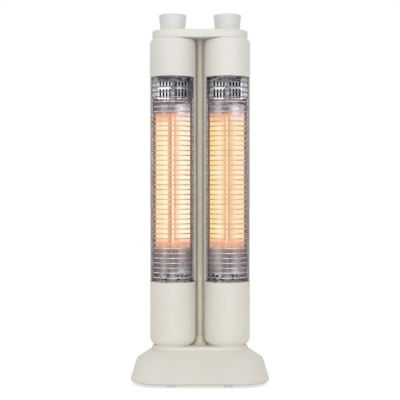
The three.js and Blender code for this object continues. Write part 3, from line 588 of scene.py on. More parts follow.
def wire_look(side):
    """Bright wire, dull enough to stay grey before a white room, with painted shade near the chamber's
    bottom and top, and a painted brown reflection and faint painted glow in front of the glow.
    """
    look = Look(f"{side}_chrome_wire")
    u, _, z = look.axes(side)
    near = look.times(
        look.between(z, GLOW_BOTTOM + 2 * MM, GLOW_TOP - 3 * MM, 6 * MM),
        look.between(u, -LOBE_OUTER[0], LOBE_OUTER[0], 1 * MM),
    )
    patches = look.patches(METAL_PATCH_SCALE)
    chrome = look.mix(patches, (208, 203, 204), (176, 170, 172))
    # Painted shade: darker chrome near the bottom of the chamber and above the dusky band
    dull = look.mix(patches, (136, 134, 138), (98, 96, 100))
    chrome = look.mix(look.between(z, CHAMBER_BOTTOM + 4 * MM, DUSK_TOP, 3 * MM), dull, chrome)
    # Painted brown reflection of the glow on the wires in front of it
    glow_reflection = look.mix(patches, (198, 172, 136), (172, 144, 108))
    look.set(
        Base_Color=look.mix(near, chrome, glow_reflection),
        Metallic=1.0,
        Roughness=look.gloss(300, 0.2, 0.36),
        Emission_Color=(200, 170, 130),
        Emission_Strength=look.times(near, WIRE_GLOW),
    )
    return look.bump(look.noise(900), 0.01 * MM)


# Camera

LENS = 90
SENSOR_WIDTH = 36
EYE_DISTANCE = 1800 * MM
EYE_HEIGHT = 350 * MM
SHIFT_Y = -0.04

camera_data = bpy.data.cameras.new("camera")
camera_data.lens = LENS
camera_data.sensor_width = SENSOR_WIDTH
camera_data.shift_y = SHIFT_Y
camera = placed("camera", camera_data)
camera.location = (0, -EYE_DISTANCE, EYE_HEIGHT)
camera.rotation_euler = (pi / 2, 0, 0)
bpy.context.scene.camera = camera


# Base

BASE_WALL = 2.5 * MM
SLOPE_INSET = 3.5 * MM
SKIRT_ROUND = 3.6 * MM
RIM_RADIUS = 52 * MM
SHOULDER_INSET = 7.9 * MM
SHOULDER_Z = 36.5 * MM
SHOULDER_RADIUS = 45.5 * MM
PLATFORM_RADIUS = 38 * MM
PLATFORM_WALL = 5 * MM
PLATFORM_REACH = 3.8 * MM
PLATFORM_PLATE = 3 * MM
FLARE_DROP = 8 * MM
SLOPE_STEPS = 6
CREASE_HEIGHT = 1.4 * MM
CREASE_DEPTH = 0.4 * MM
RIM_ROOM = 0.3 * MM


def base_shell():
    low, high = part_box("base_shell")
    half_x, half_y = high.x, high.y
    skirt_z = low.z + SKIRT_ROUND
    dome_z = high.z - PLATFORM_WALL

    def depth(z):
        return half_y + (PLATFORM_RADIUS - half_y) * (z - skirt_z) / (dome_z - skirt_z)

    def slope(z, inset):
        share = (z - skirt_z) / (SHOULDER_Z - skirt_z)
        return level(
            half_x - SHOULDER_INSET * share - inset,
            depth(z) - inset,
            RIM_RADIUS + (SHOULDER_RADIUS - RIM_RADIUS) * share - inset,
            z,
        )

    rim = [
        level(half_x - SKIRT_ROUND + r, half_y - SKIRT_ROUND + r, RIM_RADIUS - SKIRT_ROUND + r, z)
        for r, z, _ in quarter(0, skirt_z, SKIRT_ROUND, SKIRT_ROUND, -90, ROUND_STEPS)
    ]
    heights = spaced(skirt_z, SHOULDER_Z, SLOPE_STEPS)[1:]
    flare_z = high.z - FLARE_DROP
    dome = quarter(PLATFORM_RADIUS - PLATFORM_REACH, dome_z, PLATFORM_REACH, PLATFORM_WALL, 0)
    outside = rim + [slope(z, 0) for z in heights] + [stadium(depth(flare_z), flare_z)]
    outside += [
        stadium(PLATFORM_RADIUS + CREASE_DEPTH, dome_z - CREASE_HEIGHT),
        stadium(PLATFORM_RADIUS - CREASE_DEPTH, dome_z - CREASE_HEIGHT / 2),
        stadium(PLATFORM_RADIUS, dome_z - CREASE_DEPTH),
    ]
    outside += [stadium(r, z) for r, z, _ in dome]
    inside = [
        stadium(PLATFORM_RADIUS - SLOPE_INSET, high.z - PLATFORM_PLATE),
        stadium(depth(flare_z) - SLOPE_INSET, flare_z - BASE_WALL / 2),
        *[slope(z - BASE_WALL / 2, SLOPE_INSET) for z in reversed(heights)],
        level(*(r - SKIRT_ROUND - RIM_ROOM for r in (half_x, half_y, RIM_RADIUS)), low.z + OVERLAP),
    ]
    hood = loft(inside + outside)
    piece("base_hood", hood, "stand", BASE_CREAM, "base_shell", HOOD_CREASE)


# Sleeves

SLEEVE_WALL = 2 * MM
NECK_RADIUS = 32.5 * MM
NECK_RISE = 2.4 * MM
LOWER_REACH = 7.5 * MM
LOWER_RISE = 12 * MM
UPPER_REACH = 5 * MM
UPPER_RISE = 10 * MM
# Radii of each spigot's bore and outside
LOWER_SPIGOT = (10 * MM, 13 * MM)
UPPER_SPIGOT = (14.5 * MM, 17 * MM)
SLEEVE_PLATE = 3 * MM
INNER_ROUND = 2 * MM
INNER_FOOT_ROUND = 3 * MM


def lower_sleeve(side):
    spigot_z, top = span_z(f"{side}_lower_sleeve")
    bore, spigot = LOWER_SPIGOT
    bottom = PLATFORM + CLOSE_GAP
    round_z = bottom + NECK_RISE
    inner = COLUMN_RADIUS - SLEEVE_WALL
    outline = [(NECK_RADIUS, bottom, SLIGHT), (NECK_RADIUS, round_z, 0)]
    outline += quarter(COLUMN_RADIUS - LOWER_REACH, round_z + LOWER_RISE, LOWER_REACH, LOWER_RISE, -90)
    outline += [
        (COLUMN_RADIUS, top, EDGE),
        (inner, top, EDGE),
        (inner, round_z + LOWER_RISE, INNER_FOOT_ROUND),
        (NECK_RADIUS, round_z + SLEEVE_PLATE, INNER_ROUND),
        (bore, round_z + SLEEVE_PLATE, 0),
        (bore, spigot_z, EDGE),
        (spigot, spigot_z, EDGE),
        (spigot, bottom, 0),
    ]
    shell = turned(outline, axis_x(side))
    column_piece(side, "lower_sleeve", "fine", shell, SLEEVE_CREAM)


def upper_sleeve(side):
    bottom, spigot_z = span_z(f"{side}_upper_sleeve")
    bore, spigot = UPPER_SPIGOT
    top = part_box("bridge_cover")[0].z - CLOSE_GAP
    inner = COLUMN_RADIUS - SLEEVE_WALL
    outline = [(COLUMN_RADIUS, bottom, EDGE)]
    outline += quarter(COLUMN_RADIUS - UPPER_REACH, top - UPPER_RISE, UPPER_REACH, UPPER_RISE, 0)
    outline += [
        (spigot, top, 0),
        (spigot, spigot_z, EDGE),
        (bore, spigot_z, EDGE),
        (bore, top - SLEEVE_PLATE, 0),
        (inner - UPPER_REACH, top - SLEEVE_PLATE, INNER_ROUND),
        (inner, top - UPPER_RISE, INNER_ROUND),
        (inner, bottom, EDGE),
    ]
    shell = turned(outline, axis_x(side))
    column_piece(side, "upper_sleeve", "fine", shell, CREAM)


# Rear housing

HOUSING_WALL = 1.6 * MM
WINDOW_HALF = radians(68)
VENT_ROWS = 5
VENT_PITCH = 8 * MM
VENT_HEIGHT = 4 * MM
VENT_HALF = radians(24)
VENT_MARGIN = 6 * MM
HOUSING_STEP = radians(2)
FIN_ROOM = 0.1 * MM
FIN_REACH = 2.6 * MM
FIN_DROP = 1.5 * MM
FIN_THICKNESS = 0.7 * MM
FIN_SPREAD = radians(6)


def louvre(x, bottom):
    """Slanting fin inside a vent slot: it lets air through and hides what is behind it."""
    near = COLUMN_RADIUS - HOUSING_WALL - FIN_ROOM
    half = VENT_HALF + FIN_SPREAD
    angles = spaced(-half, half, round(half * 2 / HOUSING_STEP))

    def place(turn, share, lift):
        radius = near - FIN_REACH * share
        z = bottom + VENT_HEIGHT - (VENT_HEIGHT + FIN_DROP) * share + lift
        return Vector((x + radius * sin(turn), radius * cos(turn), z))

    return cells(angles, (0.0, 1.0), lambda i, j: True, place, (FIN_THICKNESS, 0.0))


def rear_housing(side, look):
    bottom, top = span_z(f"{side}_rear_housing")
    x = axis_x(side)
    starts = [top - VENT_MARGIN - VENT_HEIGHT - VENT_PITCH * row for row in range(VENT_ROWS)]
    starts += [bottom + VENT_MARGIN + VENT_PITCH * row for row in range(VENT_ROWS)]
    heights = sorted({bottom, top, *starts, *(z + VENT_HEIGHT for z in starts)})
    half = pi - WINDOW_HALF
    angles = spaced(-half, half, round(half / HOUSING_STEP) * 2)

    def is_solid(i, j):
        turn = (angles[i] + angles[i + 1]) / 2
        middle = (heights[j] + heights[j + 1]) / 2
        return abs(turn) > VENT_HALF or not any(z < middle < z + VENT_HEIGHT for z in starts)

    def place(turn, z, radius):
        return Vector((x + radius * sin(turn), radius * cos(turn), z))

    shell = cells(angles, heights, is_solid, place, (COLUMN_RADIUS, COLUMN_RADIUS - HOUSING_WALL))
    whole = joined(shell, *(louvre(x, z) for z in starts))
    column_piece(side, "rear_housing", "fine", whole, look)


# Guard

WIRE_COUNT = 42
WIRE_PITCH = 8.66 * MM
WIRE_DROP = 1.5 * MM
WIRE_RADIUS = 1.0 * MM
RAIL_WIDTH = 2.4 * MM
RAIL_THICKNESS = 0.8 * MM
GUARD_TUCK = radians(5)
GUARD_ROOM = 0.6 * MM


def guard(side, look):
    bottom, top = span_z(f"{side}_guard")
    x = axis_x(side)
    radius = COLUMN_RADIUS - HOUSING_WALL - GUARD_ROOM - WIRE_RADIUS
    half = WINDOW_HALF + GUARD_TUCK
    turns = spaced(-half, half, WIRE_STEPS)
    parts = []
    for wire in range(WIRE_COUNT):
        z = top - WIRE_DROP - WIRE_PITCH * wire
        path = [Vector((x + radius * sin(t), -radius * cos(t), z)) for t in turns]
        parts.append(swept(path, WIRE_RADIUS, WIRE_SIDES))
    outer = radius + WIRE_RADIUS
    for sign in (-1, 1):
        edges = (half, half - RAIL_WIDTH / outer)
        ring = [(sign * edge, outer) for edge in edges]
        ring += [(sign * edge, outer - RAIL_THICKNESS) for edge in reversed(edges)]
        ring = [(x + r * sin(t), -r * cos(t)) for t, r in ring]
        parts.append(extruded(ring if sign < 0 else ring[::-1], bottom, top))
    column_piece(side, "guard", "wires", joined(*parts), look)


# Reflector and vent plate

SHEET = 0.8 * MM
LIP = (37.3 * MM, -9.1 * MM)
LOBE_OUTER = (31 * MM, -1.5 * MM)
LOBE_PULLS = ((27 * MM, 15.5 * MM), (8 * MM, 15.5 * MM))
CUSP = (1.5 * MM, 3.2 * MM)
PLATE_BACK = (27 * MM, 9 * MM)
SLOT_COUNT = 9
SLOT_PITCH = 5.7 * MM
SLOT_WIDTH = 3.5 * MM
LOWER_SLOT = (1.8 * MM, 16.7 * MM)
SLOT_GAP = 5.4 * MM
UPPER_SLOT_HEIGHT = 13.4 * MM
SLOT_BEVEL = 0.15 * MM
SLOT_ROUNDNESS = 0.98
WING_LEAN = 0.2


def bezier(start, pull_a, pull_b, end, steps):
    line = []
    for t in spaced(0, 1, steps):
        weights = ((1 - t) ** 3, 3 * t * (1 - t) ** 2, 3 * t * t * (1 - t), t ** 3)
        pulled = (Vector(p) * w for p, w in zip((start, pull_a, pull_b, end), weights))
        line.append(sum(pulled, Vector((0, 0))))
    return line


def sheet(half_line, x, bottom, top, rows):
    """A thin sheet along a mirrored line in plan, with its thickness behind the line."""
    line = half_line + mirrored(half_line)
    along = [direction(line, i) for i in range(len(line))]

    def place(i, z, back):
        spot = line[i] + Vector((along[i].y, -along[i].x)) * back
        return Vector((x + spot.x, spot.y, z))

    heights = spaced(bottom, top, rows)
    return cells(range(len(line)), heights, lambda i, j: True, place, (SHEET, 0.0))


def reflector(side, look):
    bottom, top = span_z(f"{side}_reflector")
    lobe = bezier(LOBE_OUTER, *LOBE_PULLS, CUSP, CURVE_STEPS)
    shape = sheet([Vector(LIP), *lobe], axis_x(side), bottom, top, REFLECTOR_ROWS)
    column_piece(side, "reflector", "fine", shape, look)


def slot_line(x, bottom, height):
    """Round-ended slot as a closed line in the curve's own plane."""
    radius = SLOT_WIDTH / 2
    ends = ((-1, bottom), (1, bottom), (1, bottom + height), (-1, bottom + height))
    return rounded([(x + sign * radius, z, radius * SLOT_ROUNDNESS) for sign, z in ends])


def slotted_sheet(half_width, bottom, top, slots):
    """Flat plate with slots, as a filled curve turned into a mesh, standing in the XZ plane."""
    data = bpy.data.curves.new("slotted", "CURVE")
    data.dimensions = "2D"
    data.fill_mode = "BOTH"
    data.extrude = SHEET / 2 - SLOT_BEVEL
    data.bevel_depth = SLOT_BEVEL
    data.bevel_resolution = 1
    frame_line = [(-half_width, bottom), (half_width, bottom), (half_width, top), (-half_width, top)]
    for line in [frame_line, *slots]:
        spline = data.splines.new("POLY")
        spline.points.add(len(line) - 1)
        for point, (a, b) in zip(spline.points, line):
            point.co = (a, b, 0, 1)
        spline.use_cyclic_u = True
    holder = bpy.data.objects.new("slotted", data)
    mesh = bpy.data.meshes.new_from_object(holder)
    bpy.data.objects.remove(holder)
    points = [Vector((v.co.x, -v.co.z, v.co.y)) for v in mesh.vertices]
    faces = [tuple(p.vertices) for p in mesh.polygons]
    bpy.data.meshes.remove(mesh)
    return points, faces


def vent_plate(side, look):
    bottom, top = span_z(f"{side}_vent_plate")
    x = axis_x(side)
    lower = bottom + LOWER_SLOT[0]
    upper = lower + LOWER_SLOT[1] + SLOT_GAP
    middle = (SLOT_COUNT - 1) / 2
    slots = []
    for i in range(SLOT_COUNT):
        offset = (i - middle) * SLOT_PITCH
        slots.append(slot_line(offset, upper, UPPER_SLOT_HEIGHT))
        if i != middle:
            slots.append(slot_line(offset, lower, LOWER_SLOT[1]))
    back = slotted_sheet(PLATE_BACK[0], bottom, top, slots)
    plate = [p + Vector((x, PLATE_BACK[1] + SHEET / 2, 0)) for p in back[0]], back[1]
    wings = []
    for sign in (-1, 1):
        outer = [Vector((sign * p[0], p[1])) for p in (LIP, LOBE_OUTER, PLATE_BACK)]
        behind = [p + Vector((-sign * WING_LEAN * SHEET, SHEET)) for p in outer]
        ring = outer + behind[::-1]
        if sign < 0:
            ring.reverse()
        wings.append(extruded([(x + p.x, p.y) for p in ring], bottom, top))
    whole = joined(plate, *wings)
    column_piece(side, "vent_plate", "fine", whole, look, PLATE_CREASE)


# Lamp

LAMP_Y = -6 * MM
TUBE_RADIUS = 6.5 * MM
TUBE_WALL = 1.3 * MM
GLOW_BOTTOM = 235 * MM
GLOW_TOP = 478 * MM
STRIP_WIDTH = 3 * MM
STRIP_THICKNESS = 0.7 * MM
COIL_TURNS = 6
COIL_LENGTH = 12 * MM
COIL_RADIUS = 1.5 * MM
ROD_RADIUS = 0.5 * MM


def lamp(side, quartz, carbon):
    x = axis_x(side)
    bottom, top = span_z(f"{side}_lamp_tube")
    outline = pipe(TUBE_RADIUS - TUBE_WALL, TUBE_RADIUS, bottom, top, EDGE, EDGE)
    tube = turned(outline, x, LAMP_Y, SMALL_TURN_STEPS)
    column_piece(side, "lamp_tube", "quartz", tube, quartz)

    rod_bottom, rod_top = span_z(f"{side}_filament")
    half_x, half_y = STRIP_WIDTH / 2, STRIP_THICKNESS / 2
    corners = [(a * half_x, b * half_y, FINE) for a, b in CORNER_SIGNS]
    ring = [(x + p.x, LAMP_Y + p.y) for p in rounded(corners, steps=STRIP_ROUND_STEPS)]
    strip = extruded(ring, GLOW_BOTTOM, GLOW_TOP)
    centre = Vector((x, LAMP_Y, 0))
    coil_top = GLOW_TOP + COIL_LENGTH
    rods = [
        swept([centre + Vector((0, 0, z)) for z in ends], ROD_RADIUS, WIRE_SIDES)
        for ends in ((rod_bottom, GLOW_BOTTOM), (coil_top, rod_top))
    ]
    reach = COIL_RADIUS - ROD_RADIUS
    path = []
    for share in spaced(0, 1, COIL_TURNS * COIL_STEPS_PER_TURN):
        turn = tau * COIL_TURNS * share
        z = GLOW_TOP + COIL_LENGTH * share
        path.append(centre + Vector((reach * cos(turn), reach * sin(turn), z)))
    whole = joined(strip, rods[0], swept(path, ROD_RADIUS, COIL_SIDES), rods[1])
    column_piece(side, "filament", "strip", whole, carbon)


# Radius and thickness of the flange
LOWER_CAP_FLANGE = (8 * MM, 2 * MM)
LOWER_CAP_RADIUS = 6 * MM
UPPER_CAP_RADIUS = 4 * MM
CAP_RING_PITCH = 4 * MM
CAP_GROOVE = 0.5 * MM


def groove(radius, start, end):
    """Corners of a groove round a lamp cap, between two heights."""
    inner = radius - CAP_GROOVE
    spots = ((radius, start), (inner, start + CAP_GROOVE), (inner, end), (radius, end + CAP_GROOVE))
    return [(r, z, 0) for r, z in spots]


def lamp_cap(side, part, outline):
    shape = turned(outline, axis_x(side), LAMP_Y, SMALL_TURN_STEPS, closed=False)
    column_piece(side, part, "fine", shape, CERAMIC)


def lamp_caps(side):
    tube_bottom, tube_top = span_z(f"{side}_lamp_tube")
    plug = TUBE_RADIUS - TUBE_WALL - SEAT_GAP
    flange, flange_top = LOWER_CAP_FLANGE[0], CHAMBER_BOTTOM + LOWER_CAP_FLANGE[1]
    low, high = span_z(f"{side}_lower_lamp_cap")
    shoulder = tube_bottom - SEAT_GAP
    lamp_cap(side, "lower_lamp_cap", [
        (0, low, 0),
        (LOWER_CAP_RADIUS, low, SOFT),
        (LOWER_CAP_RADIUS, CHAMBER_BOTTOM, 0),
        (flange, CHAMBER_BOTTOM, SMALL),
        (flange, flange_top, EDGE),
        (LOWER_CAP_RADIUS, flange_top, SLIGHT),
        *groove(LOWER_CAP_RADIUS, shoulder - CAP_RING_PITCH, shoulder - CAP_RING_PITCH / 2),
        (LOWER_CAP_RADIUS, shoulder, SMALL),
        (plug, shoulder, FINE),
        (plug, high, SMALL),
        (0, high, 0),
    ])
    low, high = span_z(f"{side}_upper_lamp_cap")
    lamp_cap(side, "upper_lamp_cap", [
        (0, low, 0),
        (UPPER_CAP_RADIUS, low, SMALL),
        *groove(UPPER_CAP_RADIUS, tube_top + SEAT_GAP + CAP_RING_PITCH, high - CAP_RING_PITCH),
        (UPPER_CAP_RADIUS, high, FULL),
        (0, high, 0),
    ])


# Post, collar and bridge

POST_RADIUS = 5.5 * MM
POST_WALL = 1 * MM
SPINE_SETBACK = 2.4 * MM
SPINE_DEPTH = 22 * MM
SPINE_WALL = 1 * MM
SPINE_EDGE = 1 * MM
# Radius, height and rounding of each corner of the collar, in millimetres
COLLAR_CORNERS = ((14.9, 0, 0.4), (14.7, 1.6, 0.4), (11.5, 3.3, 3), (8.6, 7, 5), (7.1, 15, 0.5))
COLLAR_BORE = 5.7 * MM
BRIDGE_RADIUS = 36.6 * MM
BRIDGE_ROUND = 1 * MM
BRIDGE_WALL = 2.2 * MM


def spine_line(radius, front, back, steps):
    """Right-hand side of the spine in plan, at a constant distance from a column's axis."""
    ys = spaced(front, back, steps)
    return [Vector((PITCH / 2 - sqrt(radius ** 2 - y ** 2), y)) for y in ys]


def spine(bottom, top):
    """Hollow section behind the post: a wall down each side and one across the back."""
    radius = PITCH / 2 - POST_RADIUS
    outer = spine_line(radius, SPINE_SETBACK, SPINE_DEPTH - SPINE_EDGE, CURVE_STEPS)
    end = spine_line(radius, SPINE_SETBACK, SPINE_DEPTH, 1)[-1]
    outer.append(Vector((end.x - SPINE_EDGE, SPINE_DEPTH)))
    inner = spine_line(radius + SPINE_WALL, SPINE_SETBACK, SPINE_DEPTH - SPINE_WALL, CURVE_STEPS)
    right = outer + [Vector((0, SPINE_DEPTH)), Vector((0, SPINE_DEPTH - SPINE_WALL))] + inner[::-1]
    foot_front = COLLAR_CORNERS[0][0] * MM + SEAT_GAP
    foot = [*spine_line(radius, foot_front, SPINE_DEPTH - SPINE_EDGE, CURVE_STEPS), outer[-1]]
    return joined(
        extruded(right, bottom, top),
        extruded(mirrored(right), bottom, top),
        extruded(foot + mirrored(foot), PLATFORM + SEAT_GAP, bottom),
    )


def post():
    bottom, top = span_z("centre_post")
    outline = pipe(POST_RADIUS - POST_WALL, POST_RADIUS, bottom, top, 0, FINE)
    tube = turned(outline, steps=SMALL_TURN_STEPS)
    spine_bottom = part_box("post_collar")[1].z + SEAT_GAP
    spine_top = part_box("bridge_base")[0].z - SEAT_GAP
    whole = joined(tube, spine(spine_bottom, spine_top))
    piece("centre_post_fine", whole, "stand", POST_PAINT, "centre_post")
    bottom, top = span_z("post_collar")
    outline = [(r * MM, bottom + z * MM, fillet * MM) for r, z, fillet in COLLAR_CORNERS]
    outline = [(COLLAR_BORE, bottom, 0), *outline, (COLLAR_BORE, top, 0)]
    collar = turned(outline, steps=SMALL_TURN_STEPS)
    piece("post_collar_fine", collar, "stand", POST_PAINT, "post_collar")


def bridge():
    bottom, top = span_z("bridge_cover")
    ceiling = top - BRIDGE_WALL
    edge = quarter(BRIDGE_RADIUS - BRIDGE_ROUND, top - BRIDGE_ROUND, BRIDGE_ROUND, BRIDGE_ROUND, 0)
    inside = [stadium(BRIDGE_RADIUS - BRIDGE_WALL, z) for z in (ceiling, bottom)]
    outside = [stadium(BRIDGE_RADIUS - EDGE / 2, bottom), stadium(BRIDGE_RADIUS, bottom + EDGE)]
    outside += [stadium(r, z) for r, z, _ in edge]
    cover = loft(inside + outside)
    piece("bridge_cover_fine", cover, "stand", CREAM, "bridge_cover", BRIDGE_CREASE)


# Knobs

KNOB_FOOT = 22 * MM
KNOB_TOP = 25 * MM
KNOB_ROUND = 1.2 * MM
KNOB_WALL = 2.2 * MM
KNOB_CAVITY = 8 * MM
KNOB_HUB = 7.5 * MM
KNOB_HUB_RISE = 4 * MM


def knob(side):
    bottom, top = span_z(f"{side}_knob")
    outline = [
        (0, bottom + KNOB_HUB_RISE, 0),
        (KNOB_HUB, bottom + KNOB_HUB_RISE, SMALL),
        (KNOB_HUB, bottom + KNOB_CAVITY, EDGE),
        (KNOB_FOOT - KNOB_WALL, bottom + KNOB_CAVITY, EDGE),
        (KNOB_FOOT - KNOB_WALL, bottom, SMALL),
        (KNOB_FOOT, bottom, SOFT),
        (KNOB_TOP, top, KNOB_ROUND),
        (0, top, 0),
    ]
    shape = turned(outline, axis_x(side), closed=False, round_steps=ROUND_STEPS * 2)
    piece(f"{side}_knob_fine", shape, f"{side}_knob", KNOB_CREAM, f"{side}_knob")


# Cord gland

GLAND_BORE = 3.5 * MM
GLAND_RIBS = 3
GLAND_GROOVE = 0.7 * MM
GLAND_RIB_PITCH = 2.2 * MM
# Radius and thickness of the collar
GLAND_COLLAR = (8.5 * MM, 3.5 * MM)
GLAND_RADIUS = 5.7 * MM


def gland():
    low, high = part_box("cord_gland")
    z = (low.z + high.z) / 2
    outline = [
        (GLAND_BORE, low.y, SMALL),
        (GLAND_COLLAR[0], low.y, SOFT),
        (GLAND_COLLAR[0], low.y + GLAND_COLLAR[1], SOFT),
        (GLAND_RADIUS, low.y + GLAND_COLLAR[1], 0),
    ]
    y = high.y - GLAND_RIBS * GLAND_RIB_PITCH
    for _ in range(GLAND_RIBS):
        outline += [
            (GLAND_RADIUS, y, CRISP),
            (GLAND_RADIUS - GLAND_GROOVE, y, CRISP),
            (GLAND_RADIUS - GLAND_GROOVE, y + GLAND_RIB_PITCH / 2, CRISP),
            (GLAND_RADIUS, y + GLAND_RIB_PITCH / 2, CRISP),
        ]
        y += GLAND_RIB_PITCH
    outline += [(GLAND_RADIUS, high.y, EDGE), (GLAND_BORE, high.y, EDGE)]
    points, faces = turned(outline, steps=SMALL_TURN_STEPS, round_steps=GLAND_ROUND_STEPS)
    points = [(p[0], p[2], z + p[1]) for p in points]
    piece("cord_gland_fine", (points, faces), "stand", RUBBER, "cord_gland")


# Looks that are lit from inside, for each column: the strip glows, and on the sheets round it the glow
# and what they mirror are painted

# Soft ends of the glow, in millimetres from its bottom and from its top
GLOW_START = (-7, 6)
GLOW_END = (2, -5)
# Strength of the glow painted on the reflector's lobes
SHEET_LIGHT = 1.02
LIT_RIM = 0.9 * MM
# Heights of a painted highlight on the right half of the sheet below the glow
FLASH_BOTTOM = 176 * MM
FLASH_TOP = 194 * MM
# Colours across each lobe of the painted reflection of the glowing strip
LOBES = {
    "left": ramp_stops(
        (0.0, 248, 214, 174), (0.16, 250, 232, 190), (0.27, 255, 244, 222), (0.35, 244, 236, 190),
        (0.37, 222, 166, 142), (0.45, 226, 180, 150), (0.48, 255, 242, 206), (0.55, 255, 242, 206),
        (0.6, 240, 208, 166), (0.76, 254, 247, 232), (0.86, 254, 245, 224), (1.0, 250, 232, 212),
    ),
    "right": ramp_stops(
        (0.0, 248, 206, 154), (0.14, 250, 222, 168), (0.3, 255, 238, 204), (0.42, 242, 196, 142),
        (0.5, 228, 162, 132), (0.58, 228, 188, 146), (0.74, 244, 224, 184), (0.88, 250, 230, 194),
        (1.0, 242, 212, 186),
    ),
}


def glowing(look, z, start=GLOW_START, end=GLOW_END):
    """1 at the heights of the glow and 0 above and below them."""
    return look.times(
        look.within(z, *(GLOW_BOTTOM + step * MM for step in start)),
        look.within(z, *(GLOW_TOP + step * MM for step in end)),
    )


def fire_colour(look, side, u, z, right, ripple):
    """Painted reflection of the glowing strip: pale light with painted ripples and bright painted
    streaks, redder towards its bottom and its crown.
    """
    streak = look.noise(1.0, stretch=(18, 18, 150))
    mirrored_glow = look.coats(
        look.ramp(look.within(u, -LOBE_OUTER[0], LOBE_OUTER[0], smooth=False), LOBES[side]),
        (look.within(ripple, 0.42, 0.66, to_high=0.45), (238, 192, 134)),
        (look.within(streak, 0.5, 0.72, to_high=0.4), (255, 244, 222)),
    )
    foot = look.within(z, GLOW_BOTTOM + 6 * MM, GLOW_BOTTOM + 20 * MM)
    mirrored_glow = look.mix(foot, (228, 164, 136), mirrored_glow)
    crown = look.mix(right, (238, 174, 144), (250, 216, 208))
    return look.mix(look.within(z, GLOW_TOP - 4 * MM, GLOW_TOP - 26 * MM), crown, mirrored_glow)


def dark_metal(look, side, u, z, right, lobe):
    """Grey sheet above and below the glow, with painted reflections and highlights of what it mirrors,
    and painted mauve reflection and shade on the flanges beside it.
    """
    crumple = look.streaks(60, 190)
    stripes = look.streaks(90, 14, detail=2.0, roughness=0.5, distortion=0.6)
    above = look.within(z, GLOW_BOTTOM, GLOW_TOP)
    shade = look.mix(above, (166, 160, 161), (168, 170, 176))
    tint = look.mix(above, (186, 180, 182), (186, 188, 196))
    low = look.within(z, FLASH_BOTTOM + 15 * MM, FLASH_BOTTOM + 10 * MM)
    # Painted dark and bright patches that the sheet mirrors low down
    mirror_patches = look.within(look.streaks(120, 170, distortion=1.6), 0.44, 0.56)
    dusk = look.mix(look.within(crumple, 0.4, 0.6), (132, 102, 106), (204, 184, 188))
    # Painted reflections: a pink line of the lamp, highlights on the right half, dark and bright patches
    # low down, and a dusky band
    metal = look.coats(
        look.mix(look.within(stripes, 0.35, 0.65), shade, tint),
        (look.between(u, -3 * MM, 4 * MM, 1.5 * MM), (176, 154, 152)),
        (look.times(right, look.between(z, FLASH_BOTTOM, FLASH_TOP, 5 * MM)), (226, 224, 236)),
        (look.times(right, look.within(z, GLOW_TOP - 4 * MM, GLOW_TOP + 2 * MM)), (238, 236, 242)),
        (
            look.times(look.outside(u, -7 * MM, 7 * MM, 2 * MM), low),
            look.mix(mirror_patches, (48, 46, 48), (240, 240, 238)),
        ),
        (look.within(z, DUSK_BOTTOM - 2 * MM, DUSK_BOTTOM + 2 * MM), dusk),
    )
    # Painted mauve reflection on the flanges, darker with painted shade on the one that faces the post
    flange = look.mix(look.within(crumple, 0.35, 0.65), (132, 124, 130), (172, 166, 172))
    inward = look.within(u, 0.0, INWARD[side] * LOBE_OUTER[0], to_high=0.7)
    return look.mix(lobe, look.mix(inward, flange, (112, 92, 88)), metal)


def glow_look(side):
    """Polished sheet: a painted glow in the two lobes, mirrored from the strip, painted mauve reflection
    beside them and painted grey reflections above and below.
    """
    look = Look(f"{side}_reflector_sheet")
    u, _, z = look.axes(side)
    ripple = look.streaks(45, 420, distortion=1.2)
    right = look.within(u, 0.0, 5 * MM)
    rims = [-LOBE_OUTER[0], LOBE_OUTER[0]]
    rims[SIDES.index(side)] += INWARD[side] * LIT_RIM
    lobe = look.between(u, *rims, 0.5 * MM)
    lit = look.times(glowing(look, z), lobe)
    look.set(
        Base_Color=look.mix(lit, dark_metal(look, side, u, z, right, lobe), (70, 50, 40)),
        Metallic=look.within(lit, 0.0, 1.0, 0.28, 0.85),
        Roughness=look.within(ripple, 0.3, 0.7, 0.3, 0.42),
        # The glow of the lobes is painted as emission
        Emission_Color=fire_colour(look, side, u, z, right, ripple),
        Emission_Strength=look.times(lit, SHEET_LIGHT),
    )
    return look.bump(look.noise(1.0, stretch=(30, 30, 90)), 0.4 * MM)


PLATE_TOP = 541 * MM
PLATE_WANDER = 2 * MM
# Painted dark and bright reflections across each plate
BANDS = {
    "left": ramp_stops(
        (0.0, 226, 224, 230), (0.13, 222, 220, 226), (0.2, 238, 238, 242), (0.46, 240, 240, 244),
        (0.5, 104, 104, 118), (0.57, 130, 132, 140), (0.66, 206, 208, 214), (0.72, 128, 130, 138),
        (0.84, 110, 110, 118), (1.0, 134, 132, 136),
    ),
    "right": ramp_stops(
        (0.0, 120, 116, 120), (0.08, 96, 96, 100), (0.095, 240, 240, 240), (0.13, 240, 240, 240),
        (0.15, 100, 100, 104), (0.22, 216, 216, 220), (0.48, 238, 238, 242), (0.55, 116, 116, 124),
        (0.62, 176, 176, 184), (0.78, 150, 150, 158), (0.86, 246, 248, 255), (1.0, 244, 246, 255),
    ),
}


